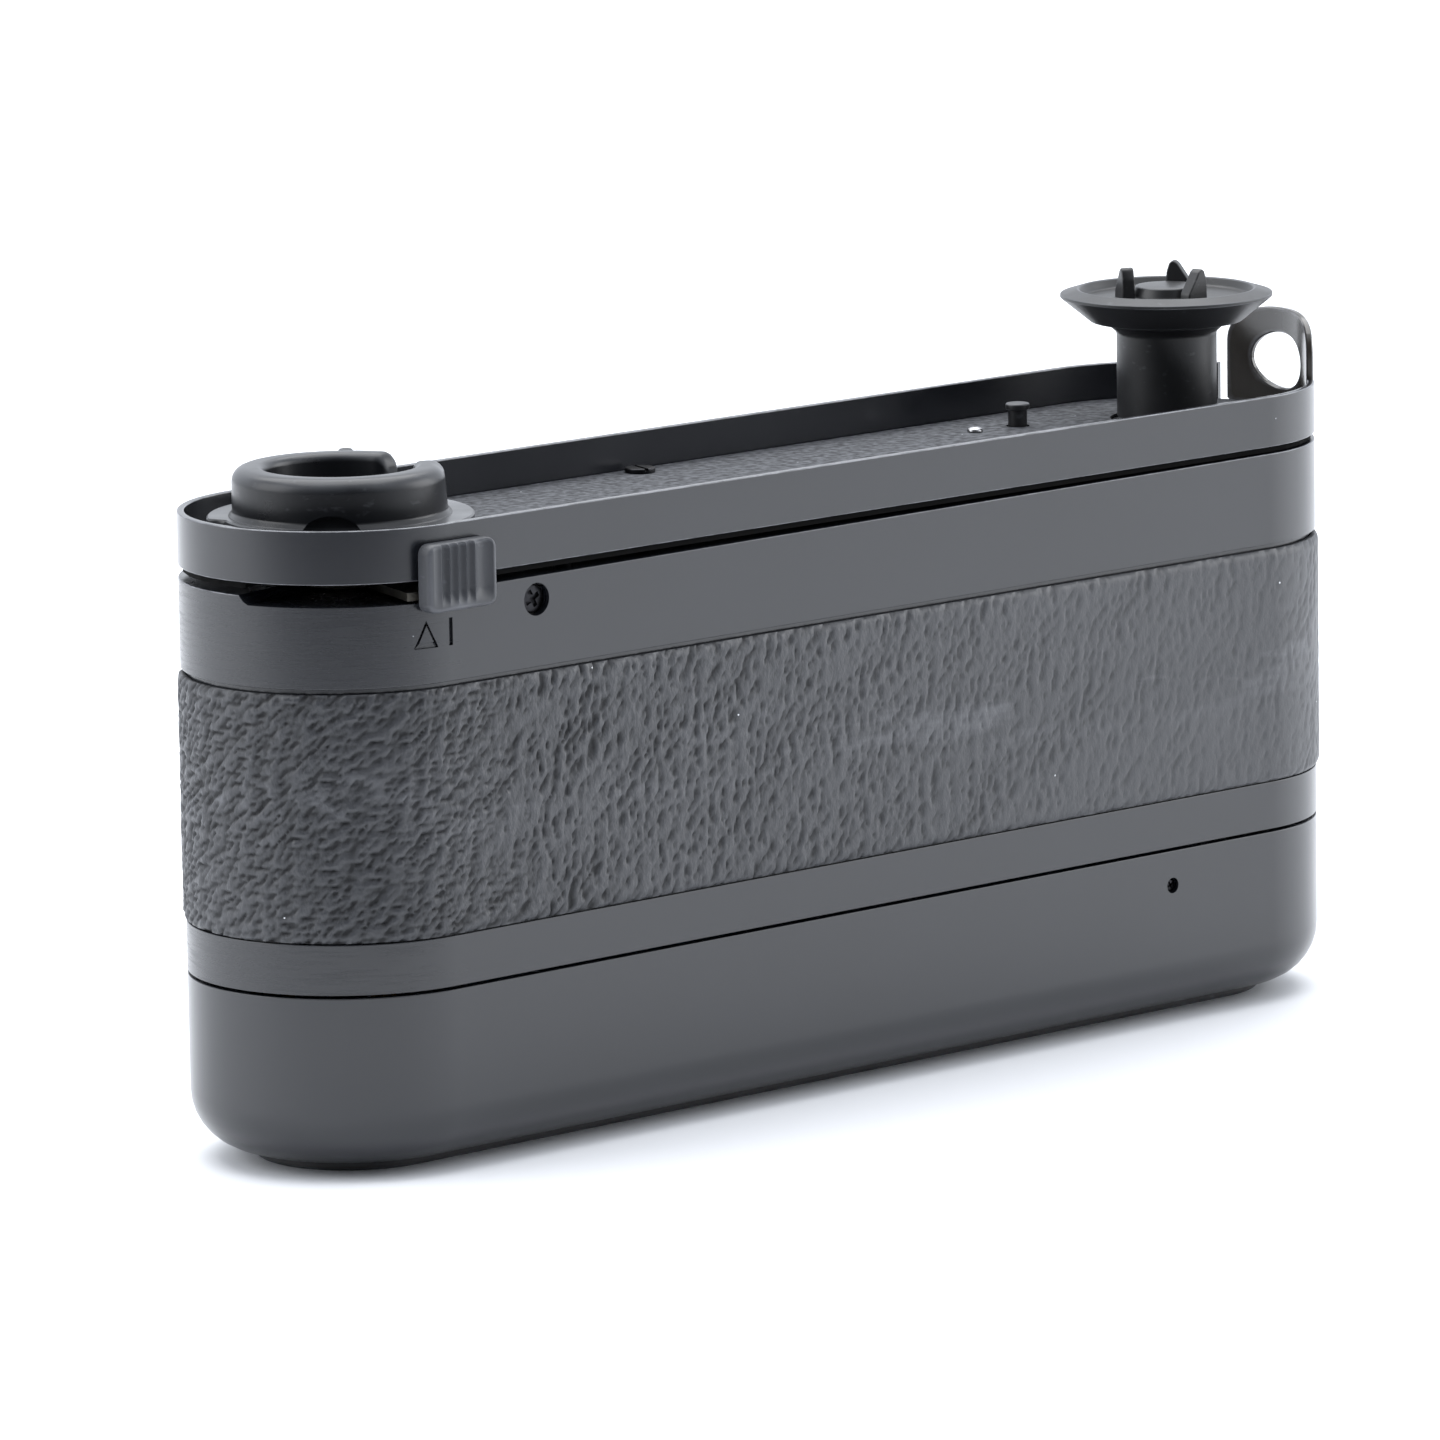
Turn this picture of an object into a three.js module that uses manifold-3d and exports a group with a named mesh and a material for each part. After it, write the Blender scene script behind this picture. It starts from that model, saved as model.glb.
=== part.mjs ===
// A motor winder that screws on under a small rangefinder camera in place of its base plate.
// Units are millimetres. +X runs along the winder towards the drive coupling, +Y is its depth and
// +Z is up. The origin is the middle of the foot plate's underside, on the table.
import * as THREE from "three";
import { mergeVertices } from "three/addons/utils/BufferGeometryUtils.js";
import Module from "manifold-3d";

const wasm = await Module();
wasm.setup();

// ---- Driving dimensions ----
const LENGTH = 138;
const DEPTH = 30.5;
const FOOT = 1;
const END_RADIUS = DEPTH / 2;
const ARC_X = LENGTH / 2 - END_RADIUS;
const END_STEPS = 16;
const GAP = 0.3;
const FIT = 0.1;

// Heights of the case, the leather band, the housing and the tray, from the table
const CASE_TOP = FOOT + 16.67;
const LEATHER_LOW = FOOT + 21.63;
const LEATHER_HIGH = FOOT + 45.55;
const HOUSING_TOP = FOOT + 54.6;
const TRAY_BOTTOM = FOOT + 55.27;
const TRAY_FLOOR = FOOT + 56.4;
const TRAY_RIM = FOOT + 60.3;

// Walls
const CASE_WALL = 0.8;
const CASE_FLOOR = 1.2;
const CASE_FILLET = 5.5;
const LEATHER_SEAT = 0.5;
const LEATHER_PROUD = 0.3;
const HOUSING_WALL = 0.9;
const HOUSING_ROOF = 2.2;
const RIM_WALL = 0.7;
const LINER = 0.3;
const HOUSING_INNER = END_RADIUS - LEATHER_SEAT - HOUSING_WALL;
const ROOF_UNDERSIDE = HOUSING_TOP - HOUSING_ROOF;

// Battery case
const FOOT_RADIUS = 9.25;
const CELL_RADIUS = 7.05;
const CELL_LENGTH = 50.5;
const CELL_Y = 7.25;
const CELL_Z = FOOT + CASE_FLOOR + CELL_RADIUS + 0.15;
const CELL_START = 4.4;
const BUSH_RADIUS = 4;
const BUSH_BORE = 3.1;
const BUSH_DEPTH = 7;
const CASE_LOCK_X = -58.5;
const CASE_LOCK_HEAD = 4;
const CASE_LOCK_SHANK = 1.6;

// Camera lock at the left end
const LOCK_X = -ARC_X;
const FLANGE_TOP = FOOT + 59.6;
const FLANGE_THICK = 0.8;
const FLANGE_RADIUS = 12.5;
const FLANGE_FRONT_RADIUS = 11;
const RING_TOP = FOOT + 64.2;
const RING_OUTER = 10.1;
const RING_INNER = 7;
const RING_ROUND = 1.2;
const RING_OPEN_FROM = -18;
const RING_OPEN_TO = 14;
const LOCK_HUB = 5;
const LOCK_SHAFT = 3;
const BUSH_FLANGE = 4.4;
const BUSH_DROP = 1.5;
const SWITCH_CAM = { low: 45.5, thick: 1.5, radius: 5, lobe: 2, reach: 4.5 };
const LOCK_CLIP = { low: 44.2, thick: 0.6, radius: 4.2 };
const SHAFT_LOW = 44;
const LEVER_HUB = 5.6;
const MAIN_SWITCH = { left: -45.4, right: -39, half: 3.5, low: 44.5, high: 49 };
const DETENT_POST = { x: -47.9, y: 11.1, low: 43, neck: 1.2, foot: 2 };
const DETENT_SPRING_Z = 46.3;
const LOCK_CAP = { radius: 3.4, thick: 0.8, slot: 0.35 };
const BITE = { angle: -135, halfWidth: 2.9, rise: 2.1, from: 9.3, to: 13 };
const LEVER_ANGLE = -91;
const LEVER_HALF_ANGLE = 16;
const LEVER_TRAVEL = 58;
const LEVER_RECESS = 1.45;
const LEVER_LOW = HOUSING_TOP - 1.15;
const LEVER_HIGH = LEVER_LOW + 0.75;
const KNOB_LEFT = -57.6;
const KNOB_RIGHT = -49.2;
const KNOB_LOW = FOOT + 52.35;
const KNOB_HIGH = FOOT + 58.75;
const KNOB_BACK = END_RADIUS + 0.2;
const KNOB_FRONT = 17;

// Drive coupling and its gear train
const DRIVE_X = 54.5;
const COUPLING_TOP = FOOT + 69.8;
const COUPLING_RADIUS = 10.6;
const COUPLING_HUB = 5;
const TOOTH_RADIUS = 4.15;
const TOOTH_RISE = 2.2;
const TOOTH_HALF = 0.65;
const TOOTH_ANGLES = [33.3, 153.3, 273.3];
const DRIVE_SHAFT = 2.4;
const MODULE = 1;
const DRIVE_TEETH = 24;
const PINION_TEETH = 9;
const WHEEL_1_TEETH = 22;
const WHEEL_2_TEETH = 20;
const MOTOR_TEETH = 8;
const GEAR_THICK = 2;
const LEVEL_A = 50.2;
const LEVEL_B = 47;
const LEVEL_C = 43.6;
const GEAR_1_X = DRIVE_X - (MODULE * (DRIVE_TEETH + PINION_TEETH)) / 2;
const GEAR_2_X = GEAR_1_X - (MODULE * (WHEEL_1_TEETH + PINION_TEETH)) / 2;
const MOTOR_X = GEAR_2_X - (MODULE * (WHEEL_2_TEETH + MOTOR_TEETH)) / 2;
const GEAR_PIN = 1;
const GEAR_PLATE_LOW = 41.2;
const GEAR_PLATE_HIGH = 42.4;
const CHASSIS_LOW = CASE_TOP + 0.6;
const CHASSIS_HIGH = CHASSIS_LOW + 1.2;
const GEAR_PLATE_X = 31.5;
const GEAR_PLATE_HALF = 22.5;
const DRIVE_PILOT = 1.3;
const GEAR_SLEEVE = 2.4;
const DRIVE_BOSS = 4.2;
const TOOTH_ADDENDUM = 0.85;
const TOOTH_DEDENDUM = 1.1;
const RUN_CLEARANCE = 0.06;
const PIN_CLEARANCE = 0.08;
const MOTOR = { radius: 10.2, chamfer: 0.8, boss: 2.3, bore: 1.2, shaft: 1, shoulder: 1.5 };
const PILLARS = [
  [22, 10.8],
  [22, -10.8],
  [52, 10.8],
  [52, -10.8],
];
const BOARD = { left: -52, right: -18, halfWidth: 11, low: 36, thick: 1.2 };
const CHIP = { left: -40, right: -30, front: -4, rear: 3, tall: 1.6 };
const RELAY = { left: -50, right: -43, front: 2, rear: 9, tall: 5 };
const CAPACITOR = { x: -24, y: 5, radius: 3, tall: 7 };
const SUPPLY_BLADE = { x: -56.2, thick: 0.6, halfWidth: 1.5, overlap: 6 };
const LEAD = { radius: 0.5, boardX: -17.4, motorX: -5.3 };
const BOARD_POSTS = [
  [-48, -7],
  [-22, -7],
];

// Hook tab on the right end
const HOOK_TOP = FOOT + 66.5;
const HOOK_ANGLE = -10;
const HOOK_HALF_ANGLE = 31;
const HOOK_HALF_WIDTH = 7.6;
const HOOK_SHOULDER = HOOK_TOP - 4.2;
const HOOK_HOLE_Z = FOOT + 61.2;
const HOOK_HOLE_WIDTH = 9;
const HOOK_HOLE_HEIGHT = 5.6;

// Small parts on the tray, in the housing and in the case
const TRIP = { x: 40.35, y: 6.85, stem: 0.95, head: 1.2, top: FOOT + 59, collar: 1.6 };
const TRIP_LEDGE = { low: HOUSING_TOP + 0.05, high: HOUSING_TOP + 0.5 };
const STUD = { x: -42.5, y: 12.4, radius: 0.6, top: FOOT + 63.2 };
const RIVET = { x: 34.6, y: 7, radius: 0.8 };
const TRIP_POCKET = 2;
const TRAY_DRIVE_HOLE = 5;
const TRAY_SCREW_HOLE = 0.95;
const SPACER_INSET = 0.4;
const TRAY_SCREWS = [
  [-5.4, 12.2],
  [-36, -11],
  [24, -11],
];
const SIDE_SCREW = {
  x: -43.05,
  z: FOOT + 51.9,
  bore: 1.55,
  head: 1.4,
  shank: 0.9,
  front: -END_RADIUS + 0.55,
  cross: 0.18,
};
const GRUB = { x: 39.7, z: FOOT + 13.1, bore: 0.75 };
const MARK = { triangleX: -56.4, barX: -53.6, z: FOOT + 50.2, half: 1.3, line: 0.45, depth: 0.25 };

// Heights and depths that lie well outside the winder, for tools that cut right through
const FAR_BELOW = -10;
const FAR_ABOVE = 90;
const FAR_OUT = 30;

const DEGREE = Math.PI / 180;

// ---- Materials ----
function finish(color, roughness, metalness) {
  return new THREE.MeshStandardMaterial({ color, roughness, metalness });
}
const blackPaint = finish(0x2b2c2e, 0.4, 0.3);
const blackRubber = finish(0x1b1c1e, 0.65, 0);
const leather = finish(0x26282b, 0.7, 0);
const greyPlastic = finish(0x55585c, 0.55, 0);
const darkPlastic = finish(0x202124, 0.5, 0);
const steel = finish(0x9b9da0, 0.35, 1);
const brass = finish(0xb9985a, 0.35, 1);
const cellJacket = finish(0x3f6f86, 0.4, 0.2);
const boardGreen = finish(0x2c5a3c, 0.6, 0);
const flock = finish(0x2a2b2d, 0.95, 0);

// ---- Solids: geometry in and out of manifold-3d ----
function signedVolume(position, index) {
  const a = new THREE.Vector3();
  const b = new THREE.Vector3();
  const c = new THREE.Vector3();
  let volume = 0;
  for (let i = 0; i < index.length; i += 3) {
    a.fromBufferAttribute(position, index[i]);
    b.fromBufferAttribute(position, index[i + 1]);
    c.fromBufferAttribute(position, index[i + 2]);
    volume += a.dot(b.cross(c)) / 6;
  }
  return volume;
}

// A closed geometry as a manifold-3d solid, turned right side out if it has to be.
function solid(geometry) {
  const bare = geometry.clone();
  bare.deleteAttribute("normal");
  bare.deleteAttribute("uv");
  const merged = mergeVertices(bare, 1e-4);
  const triVerts = new Uint32Array(merged.index.array);
  if (signedVolume(merged.attributes.position, triVerts) < 0) {
    triVerts.reverse();
  }
  const vertProperties = new Float32Array(merged.attributes.position.array);
  return new wasm.Manifold(new wasm.Mesh({ numProp: 3, vertProperties, triVerts }));
}

function join(first, ...others) {
  return others.reduce((sum, other) => sum.add(other), first);
}

function cut(first, ...others) {
  return others.reduce((rest, other) => rest.subtract(other), first);
}

const winder = new THREE.Group();

function piece(name, body, material) {
  const made = body.getMesh();
  const geometry = new THREE.BufferGeometry();
  const position = new THREE.BufferAttribute(new Float32Array(made.vertProperties), 3);
  geometry.setAttribute("position", position);
  geometry.setIndex([...made.triVerts]);
  geometry.computeVertexNormals();
  const mesh = new THREE.Mesh(geometry, material);
  mesh.name = name;
  winder.add(mesh);
}

// ---- Shape makers ----
// The outline of a slot shape: two half circles about X = -centre and X = +centre.
function slotOutline(radius, centre = ARC_X, steps = END_STEPS) {
  const points = [];
  for (const side of [1, -1]) {
    for (let i = 0; i <= steps; i += 1) {
      const angle = Math.PI * (i / steps - 0.5);
      points.push([side * (centre + radius * Math.cos(angle)), side * radius * Math.sin(angle)]);
    }
  }
  return points;
}

function circleOutline(radius, steps = 20, x = 0, y = 0) {
  const points = [];
  for (let i = 0; i < steps; i += 1) {
    const angle = (2 * Math.PI * i) / steps;
    points.push([x + radius * Math.cos(angle), y + radius * Math.sin(angle)]);
  }
  return points;
}

// A pie slice from one angle to another, anticlockwise seen from above, in degrees.
function sectorOutline(radius, from, to, x = 0, y = 0) {
  const points = [[x, y]];
  const steps = Math.ceil((to - from) / 10);
  for (let i = 0; i <= steps; i += 1) {
    const angle = (from + ((to - from) * i) / steps) * DEGREE;
    points.push([x + radius * Math.cos(angle), y + radius * Math.sin(angle)]);
  }
  return points;
}

function rectangle(x0, y0, x1, y1) {
  return [
    [x0, y0],
    [x1, y0],
    [x1, y1],
    [x0, y1],
  ];
}

// A prism that stands on an outline, from the height low to the height high.
function prism(outline, low, high) {
  const shape = new THREE.Shape(outline.map(([x, y]) => new THREE.Vector2(x, y)));
  const geometry = new THREE.ExtrudeGeometry(shape, { depth: high - low, bevelEnabled: false });
  return solid(geometry.translate(0, 0, low));
}

// A prism whose outline is drawn in X and Z and which runs from the depth near to the depth far.
function sidePrism(outline, near, far) {
  const shape = new THREE.Shape(outline.map(([x, z]) => new THREE.Vector2(x, z)));
  const geometry = new THREE.ExtrudeGeometry(shape, { depth: far - near, bevelEnabled: false });
  return solid(geometry.rotateX(Math.PI / 2).translate(0, far, 0));
}

function rod(radius, low, high, x = 0, y = 0, steps = 20) {
  return prism(circleOutline(radius, steps, x, y), low, high);
}

// An upright tool that drills right through.
function drill(radius, x = 0, y = 0, steps = 20) {
  return rod(radius, FAR_BELOW, FAR_ABOVE, x, y, steps);
}

function sideRod(radius, x, z, near, far, steps = 14) {
  return sidePrism(circleOutline(radius, steps, x, z), near, far);
}

function box(x0, y0, z0, x1, y1, z1) {
  return prism(rectangle(x0, y0, x1, y1), z0, z1);
}

// A solid of rotation about the vertical through x, y, from a profile of [radius, height] points.
function turned(profile, x = 0, y = 0, steps = 32) {
  const points = profile.map(([radius, height]) => new THREE.Vector2(radius, height));
  const geometry = new THREE.LatheGeometry(points, steps);
  return solid(geometry.rotateX(Math.PI / 2).translate(x, y, 0));
}

// A slot-shaped solid whose radius changes with height, from levels of [radius, height].
function slotLoft(levels, centre = ARC_X) {
  const position = [];
  const index = [];
  const rings = levels.map(([radius]) => slotOutline(radius, centre));
  const count = rings[0].length;
  rings.forEach((ring, level) => {
    ring.forEach(([x, y]) => position.push(x, y, levels[level][1]));
  });
  for (let level = 0; level + 1 < rings.length; level += 1) {
    for (let i = 0; i < count; i += 1) {
      const a = level * count + i;
      const b = level * count + ((i + 1) % count);
      index.push(a, b, b + count, a, b + count, a + count);
    }
  }
  const top = (rings.length - 1) * count;
  for (let i = 1; i + 1 < count; i += 1) {
    index.push(0, i + 1, i, top, top + i, top + i + 1);
  }
  const geometry = new THREE.BufferGeometry();
  geometry.setAttribute("position", new THREE.Float32BufferAttribute(position, 3));
  geometry.setIndex(index);
  return solid(geometry);
}

// Slot levels that start on a rounded bottom edge and rise straight to the height high.
function filletLevels(radius, low, fillet, high, steps = 5) {
  const levels = [];
  for (let i = 0; i <= steps; i += 1) {
    const angle = (Math.PI / 2) * (i / steps);
    levels.push([radius - fillet * (1 - Math.sin(angle)), low + fillet * (1 - Math.cos(angle))]);
  }
  levels.push([radius, high]);
  return levels;
}

// A round wire that follows a curve.
function wire(curve, radius, steps, sides = 6) {
  const section = new THREE.Shape(
    circleOutline(radius, sides).map(([x, y]) => new THREE.Vector2(x, y)),
  );
  const options = { steps, extrudePath: curve, bevelEnabled: false };
  return solid(new THREE.ExtrudeGeometry(section, options));
}

class Helix extends THREE.Curve {
  constructor(radius, turns, low, high) {
    super();
    Object.assign(this, { radius, turns, low, high });
  }

  getPoint(t, target = new THREE.Vector3()) {
    const angle = 2 * Math.PI * this.turns * t;
    const height = this.low + (this.high - this.low) * t;
    return target.set(this.radius * Math.cos(angle), this.radius * Math.sin(angle), height);
  }
}

function coil(radius, wireRadius, turns, low, high) {
  const ends = [low + wireRadius, high - wireRadius];
  return wire(new Helix(radius, turns, ...ends), wireRadius, turns * 10, 5);
}

// ---- Battery case: lower shell, foot plate, cells and contacts ----
function batteryCase() {
  const inner = END_RADIUS - CASE_WALL;
  const floor = FOOT + CASE_FLOOR;
  const shell = slotLoft(filletLevels(END_RADIUS, FOOT, CASE_FILLET, CASE_TOP));
  const hollow = slotLoft(filletLevels(inner, floor, CASE_FILLET - CASE_WALL, CASE_TOP + 1));
  const lockHole = rod(CASE_LOCK_SHANK + GAP, 0, CASE_TOP, CASE_LOCK_X);
  const bushHole = rod(BUSH_RADIUS + FIT, 0, CASE_TOP);
  const grubHole = sideRod(GRUB.bore, GRUB.x, GRUB.z, -END_RADIUS - 1, -END_RADIUS + 2);
  piece("battery_case", cut(shell, hollow, lockHole, bushHole, grubHole), blackPaint);
}

function footPlate() {
  const plate = prism(slotOutline(FOOT_RADIUS), 0, FOOT - FIT);
  const lockHole = rod(CASE_LOCK_HEAD + GAP, -1, FOOT + 1, CASE_LOCK_X, 0, 32);
  const bushHole = rod(BUSH_RADIUS + GAP, -1, FOOT + 1);
  piece("foot_plate", cut(plate, lockHole, bushHole), blackRubber);
}

// A size AA cell that lies along X. Its nub points to the side given.
function cell(name, start, y, nubSide) {
  const nub = 1.1;
  const body = CELL_LENGTH - nub;
  const profile = [
    [0, 0],
    [CELL_RADIUS - 0.4, 0],
    [CELL_RADIUS, 0.4],
    [CELL_RADIUS, body - 0.4],
    [CELL_RADIUS - 0.4, body],
    [2.7, body],
    [2.6, CELL_LENGTH],
    [0, CELL_LENGTH],
  ];
  const points = profile.map(([radius, along]) => new THREE.Vector2(radius, along));
  const geometry = new THREE.LatheGeometry(points, 20).rotateZ(-Math.PI / 2);
  if (nubSide < 0) geometry.rotateZ(Math.PI).translate(CELL_LENGTH, 0, 0);
  piece(name, solid(geometry.translate(start, y, CELL_Z)), cellJacket);
}

function cells() {
  const end = CELL_START + CELL_LENGTH;
  cell("cell_1", -end, -CELL_Y, 1);
  cell("cell_2", CELL_START, -CELL_Y, 1);
  cell("cell_3", CELL_START, CELL_Y, -1);
  cell("cell_4", -end, CELL_Y, -1);
}

function plateAcross(x, thick, halfWidth, y, low, high) {
  return box(x, y - halfWidth, low, x + thick, y + halfWidth, high);
}

function contacts() {
  const low = CELL_Z - 3.5;
  const high = CELL_Z + 5.5;
  const cellEnd = CELL_START + CELL_LENGTH;
  const springLength = 1.5;
  const plateX = cellEnd + springLength + 0.3;
  const bothRows = CELL_Y + 3.2;
  piece("right_contact", plateAcross(plateX, 0.5, bothRows, 0, low, high), brass);
  for (const [name, side] of [["front", -1], ["rear", 1]]) {
    const leftX = -plateX - 0.5;
    piece(`left_contact_${name}`, plateAcross(leftX, 0.5, 3.2, side * CELL_Y, low, high), brass);
    const middle = box(-CELL_START + GAP, side * 4.6, low, CELL_START - GAP, side * 5.2, high);
    piece(`middle_contact_${name}`, middle, brass);
  }
  const spring = (x, y) => {
    const made = wire(new Helix(2.6, 2, 0.3, springLength - 0.1), 0.22, 20, 5);
    return made.rotate([0, 90, 0]).translate([x, y, CELL_Z]);
  };
  piece("contact_spring_1", spring(-plateX + 0.05, -CELL_Y), steel);
  piece("contact_spring_2", spring(cellEnd + 0.05, CELL_Y), steel);
}

function tripodBush() {
  const outer = rod(BUSH_RADIUS, FIT, BUSH_DEPTH);
  piece("tripod_bush", cut(outer, rod(BUSH_BORE, -1, BUSH_DEPTH - 1)), steel);
}

function caseLockScrew() {
  const head = rod(CASE_LOCK_HEAD, 0.15, FOOT - 0.05, CASE_LOCK_X, 0, 32);
  const shank = rod(CASE_LOCK_SHANK, FOOT - 0.1, CHASSIS_HIGH + 1, CASE_LOCK_X);
  const coinSlot = box(CASE_LOCK_X - 5, -0.6, -1, CASE_LOCK_X + 5, 0.6, 0.6);
  piece("case_lock_screw", cut(join(head, shank), coinSlot), steel);
  const clipLow = FOOT + CASE_FLOOR + GAP;
  const clip = rod(CASE_LOCK_SHANK + 1.2, clipLow, clipLow + 0.6, CASE_LOCK_X);
  const clipHole = rod(CASE_LOCK_SHANK + FIT, 0, CASE_TOP, CASE_LOCK_X);
  piece("case_lock_clip", cut(clip, clipHole), steel);
}

function grubScrew() {
  const front = -END_RADIUS + 0.35;
  piece("grub_screw", sideRod(GRUB.bore - FIT, GRUB.x, GRUB.z, front, front + 1.2), steel);
}

// ---- Housing: upper shell, leather band and the inner chassis ----
function lockSweep(radius, low, high) {
  const margin = LEVER_HALF_ANGLE + 2;
  const from = LEVER_ANGLE - LEVER_TRAVEL - margin;
  const sweep = prism(sectorOutline(radius, from, LEVER_ANGLE + margin, LOCK_X), low, high);
  return join(sweep, rod(LOCK_HUB + 1.3, low, high, LOCK_X));
}

// The engraved index marks: an open triangle that points up at the knob, and a bar beside it.
function engravedMarks() {
  const { triangleX, barX, z, half, line, depth } = MARK;
  const sign = (outline) => sidePrism(outline, -FAR_OUT, 0);
  const triangle = (reach) => {
    return sign([
      [triangleX - reach, z - reach],
      [triangleX + reach, z - reach],
      [triangleX, z + reach],
    ]);
  };
  const bar = sign(rectangle(barX - line / 2, z - half, barX + line / 2, z + half));
  const core = prism(slotOutline(END_RADIUS - depth), z - 2 * half, z + 2 * half);
  return cut(join(cut(triangle(half), triangle(half - 1.2 * line)), bar), core);
}

function housing() {
  const low = CASE_TOP + FIT;
  const shell = prism(slotOutline(END_RADIUS), low, HOUSING_TOP);
  const hollow = prism(slotOutline(HOUSING_INNER), FAR_BELOW, ROOF_UNDERSIDE);
  const bandSpace = prism(slotOutline(END_RADIUS + 1), LEATHER_LOW, LEATHER_HIGH);
  const bandCore = prism(slotOutline(END_RADIUS - LEATHER_SEAT), LEATHER_LOW, LEATHER_HIGH);
  const { x: screwX, z: screwZ, bore, front } = SIDE_SCREW;
  const openings = [
    lockSweep(END_RADIUS + 1, HOUSING_TOP - LEVER_RECESS, HOUSING_TOP + 1),
    rod(BUSH_FLANGE + FIT, ROOF_UNDERSIDE - 1, HOUSING_TOP + 1, LOCK_X),
    rod(TRAY_DRIVE_HOLE, ROOF_UNDERSIDE - 1, HOUSING_TOP + 1, DRIVE_X),
    rod(TRIP_POCKET, HOUSING_TOP - BUSH_DROP, HOUSING_TOP + 1, TRIP.x, TRIP.y),
    rod(TRIP.stem + 2 * FIT, ROOF_UNDERSIDE - 1, HOUSING_TOP + 1, TRIP.x, TRIP.y, 16),
    sideRod(bore, screwX, screwZ, -FAR_OUT, front + 0.6),
    sideRod(SIDE_SCREW.shank + 2 * FIT, screwX, screwZ, -END_RADIUS, -HOUSING_INNER + 3),
    ...TRAY_SCREWS.map(([x, y]) => {
      return rod(TRAY_SCREW_HOLE, ROOF_UNDERSIDE + 0.8, HOUSING_TOP + 1, x, y, 12);
    }),
  ];
  const body = cut(shell, hollow, cut(bandSpace, bandCore), ...openings);
  piece("housing", cut(body, engravedMarks()), blackPaint);
}

function leatherBand() {
  const low = LEATHER_LOW + 0.15;
  const high = LEATHER_HIGH - 0.15;
  const outer = prism(slotOutline(END_RADIUS + LEATHER_PROUD), low, high);
  const inner = prism(slotOutline(END_RADIUS - LEATHER_SEAT + FIT), low - 1, high + 1);
  piece("leather_band", cut(outer, inner), leather);
}

function sideScrew() {
  const { x, z, head, shank, front, cross } = SIDE_SCREW;
  const cap = sideRod(head, x, z, front, front + 0.5);
  const thread = sideRod(shank, x, z, front + 0.4, -HOUSING_INNER + 2.8);
  const bar = (wide, tall) => {
    return sidePrism(rectangle(x - wide, z - tall, x + wide, z + tall), -FAR_OUT, front + GAP);
  };
  piece("side_screw", cut(join(cap, thread), bar(shank, cross), bar(cross, shank)), steel);
}

// The chassis plate carries the pillars of the gear plate and the posts of the circuit board.
function chassis() {
  const plate = prism(slotOutline(HOUSING_INNER - GAP), CHASSIS_LOW, CHASSIS_HIGH);
  const lockHole = rod(CASE_LOCK_SHANK + FIT, 0, 30, CASE_LOCK_X);
  const pillars = PILLARS.map(([x, y]) => {
    return rod(1.8, CHASSIS_HIGH - FIT, GEAR_PLATE_LOW - FIT, x, y, 16);
  });
  const posts = BOARD_POSTS.map(([x, y]) => rod(1.5, CHASSIS_HIGH - FIT, BOARD.low - FIT, x, y, 12));
  piece("chassis_plate", cut(join(plate, ...pillars, ...posts), lockHole), darkPlastic);
}

// The gear plate holds the pins that the reduction gears turn on.
function gearPlate() {
  const plate = prism(slotOutline(12.9, GEAR_PLATE_HALF), GEAR_PLATE_LOW, GEAR_PLATE_HIGH);
  const motorHole = drill(MOTOR.boss + GAP, MOTOR_X - GEAR_PLATE_X);
  const driveHole = drill(DRIVE_PILOT, DRIVE_X - GEAR_PLATE_X);
  const pins = [GEAR_1_X, GEAR_2_X].map((x) => {
    return rod(GEAR_PIN, GEAR_PLATE_HIGH - FIT, ROOF_UNDERSIDE - FIT, x - GEAR_PLATE_X);
  });
  const placed = join(cut(plate, motorHole, driveHole), ...pins).translate([GEAR_PLATE_X, 0, 0]);
  piece("gear_plate", placed, darkPlastic);
}

// ---- Motor and gear train ----
// A gear's outline: straight-sided teeth, four points each, the first tooth centred on +X turned
// by the angle given.
function gearOutline(teeth, turn) {
  const pitch = (MODULE * teeth) / 2;
  const tip = pitch + TOOTH_ADDENDUM * MODULE;
  const root = pitch - TOOTH_DEDENDUM * MODULE;
  const step = (2 * Math.PI) / teeth;
  const points = [];
  for (let i = 0; i < teeth; i += 1) {
    const centre = turn + i * step;
    const corners = [
      [root, -0.3],
      [tip, -0.1],
      [tip, 0.1],
      [root, 0.3],
    ];
    for (const [radius, share] of corners) {
      const angle = centre + share * step;
      points.push([radius * Math.cos(angle), radius * Math.sin(angle)]);
    }
  }
  return points;
}

// Turn of a gear that meshes, on its +X side, with a gear whose tooth gap or tooth faces it.
function meshTurn(teeth, neighbourTurn, neighbourTeeth) {
  const neighbourStep = (2 * Math.PI) / neighbourTeeth;
  const phase = ((Math.PI - neighbourTurn) / neighbourStep) % 1;
  return ((0.5 - phase) * 2 * Math.PI) / teeth;
}

function gear(teeth, turn, low, x) {
  return prism(gearOutline(teeth, turn), low, low + GEAR_THICK).translate([x, 0, 0]);
}

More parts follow.
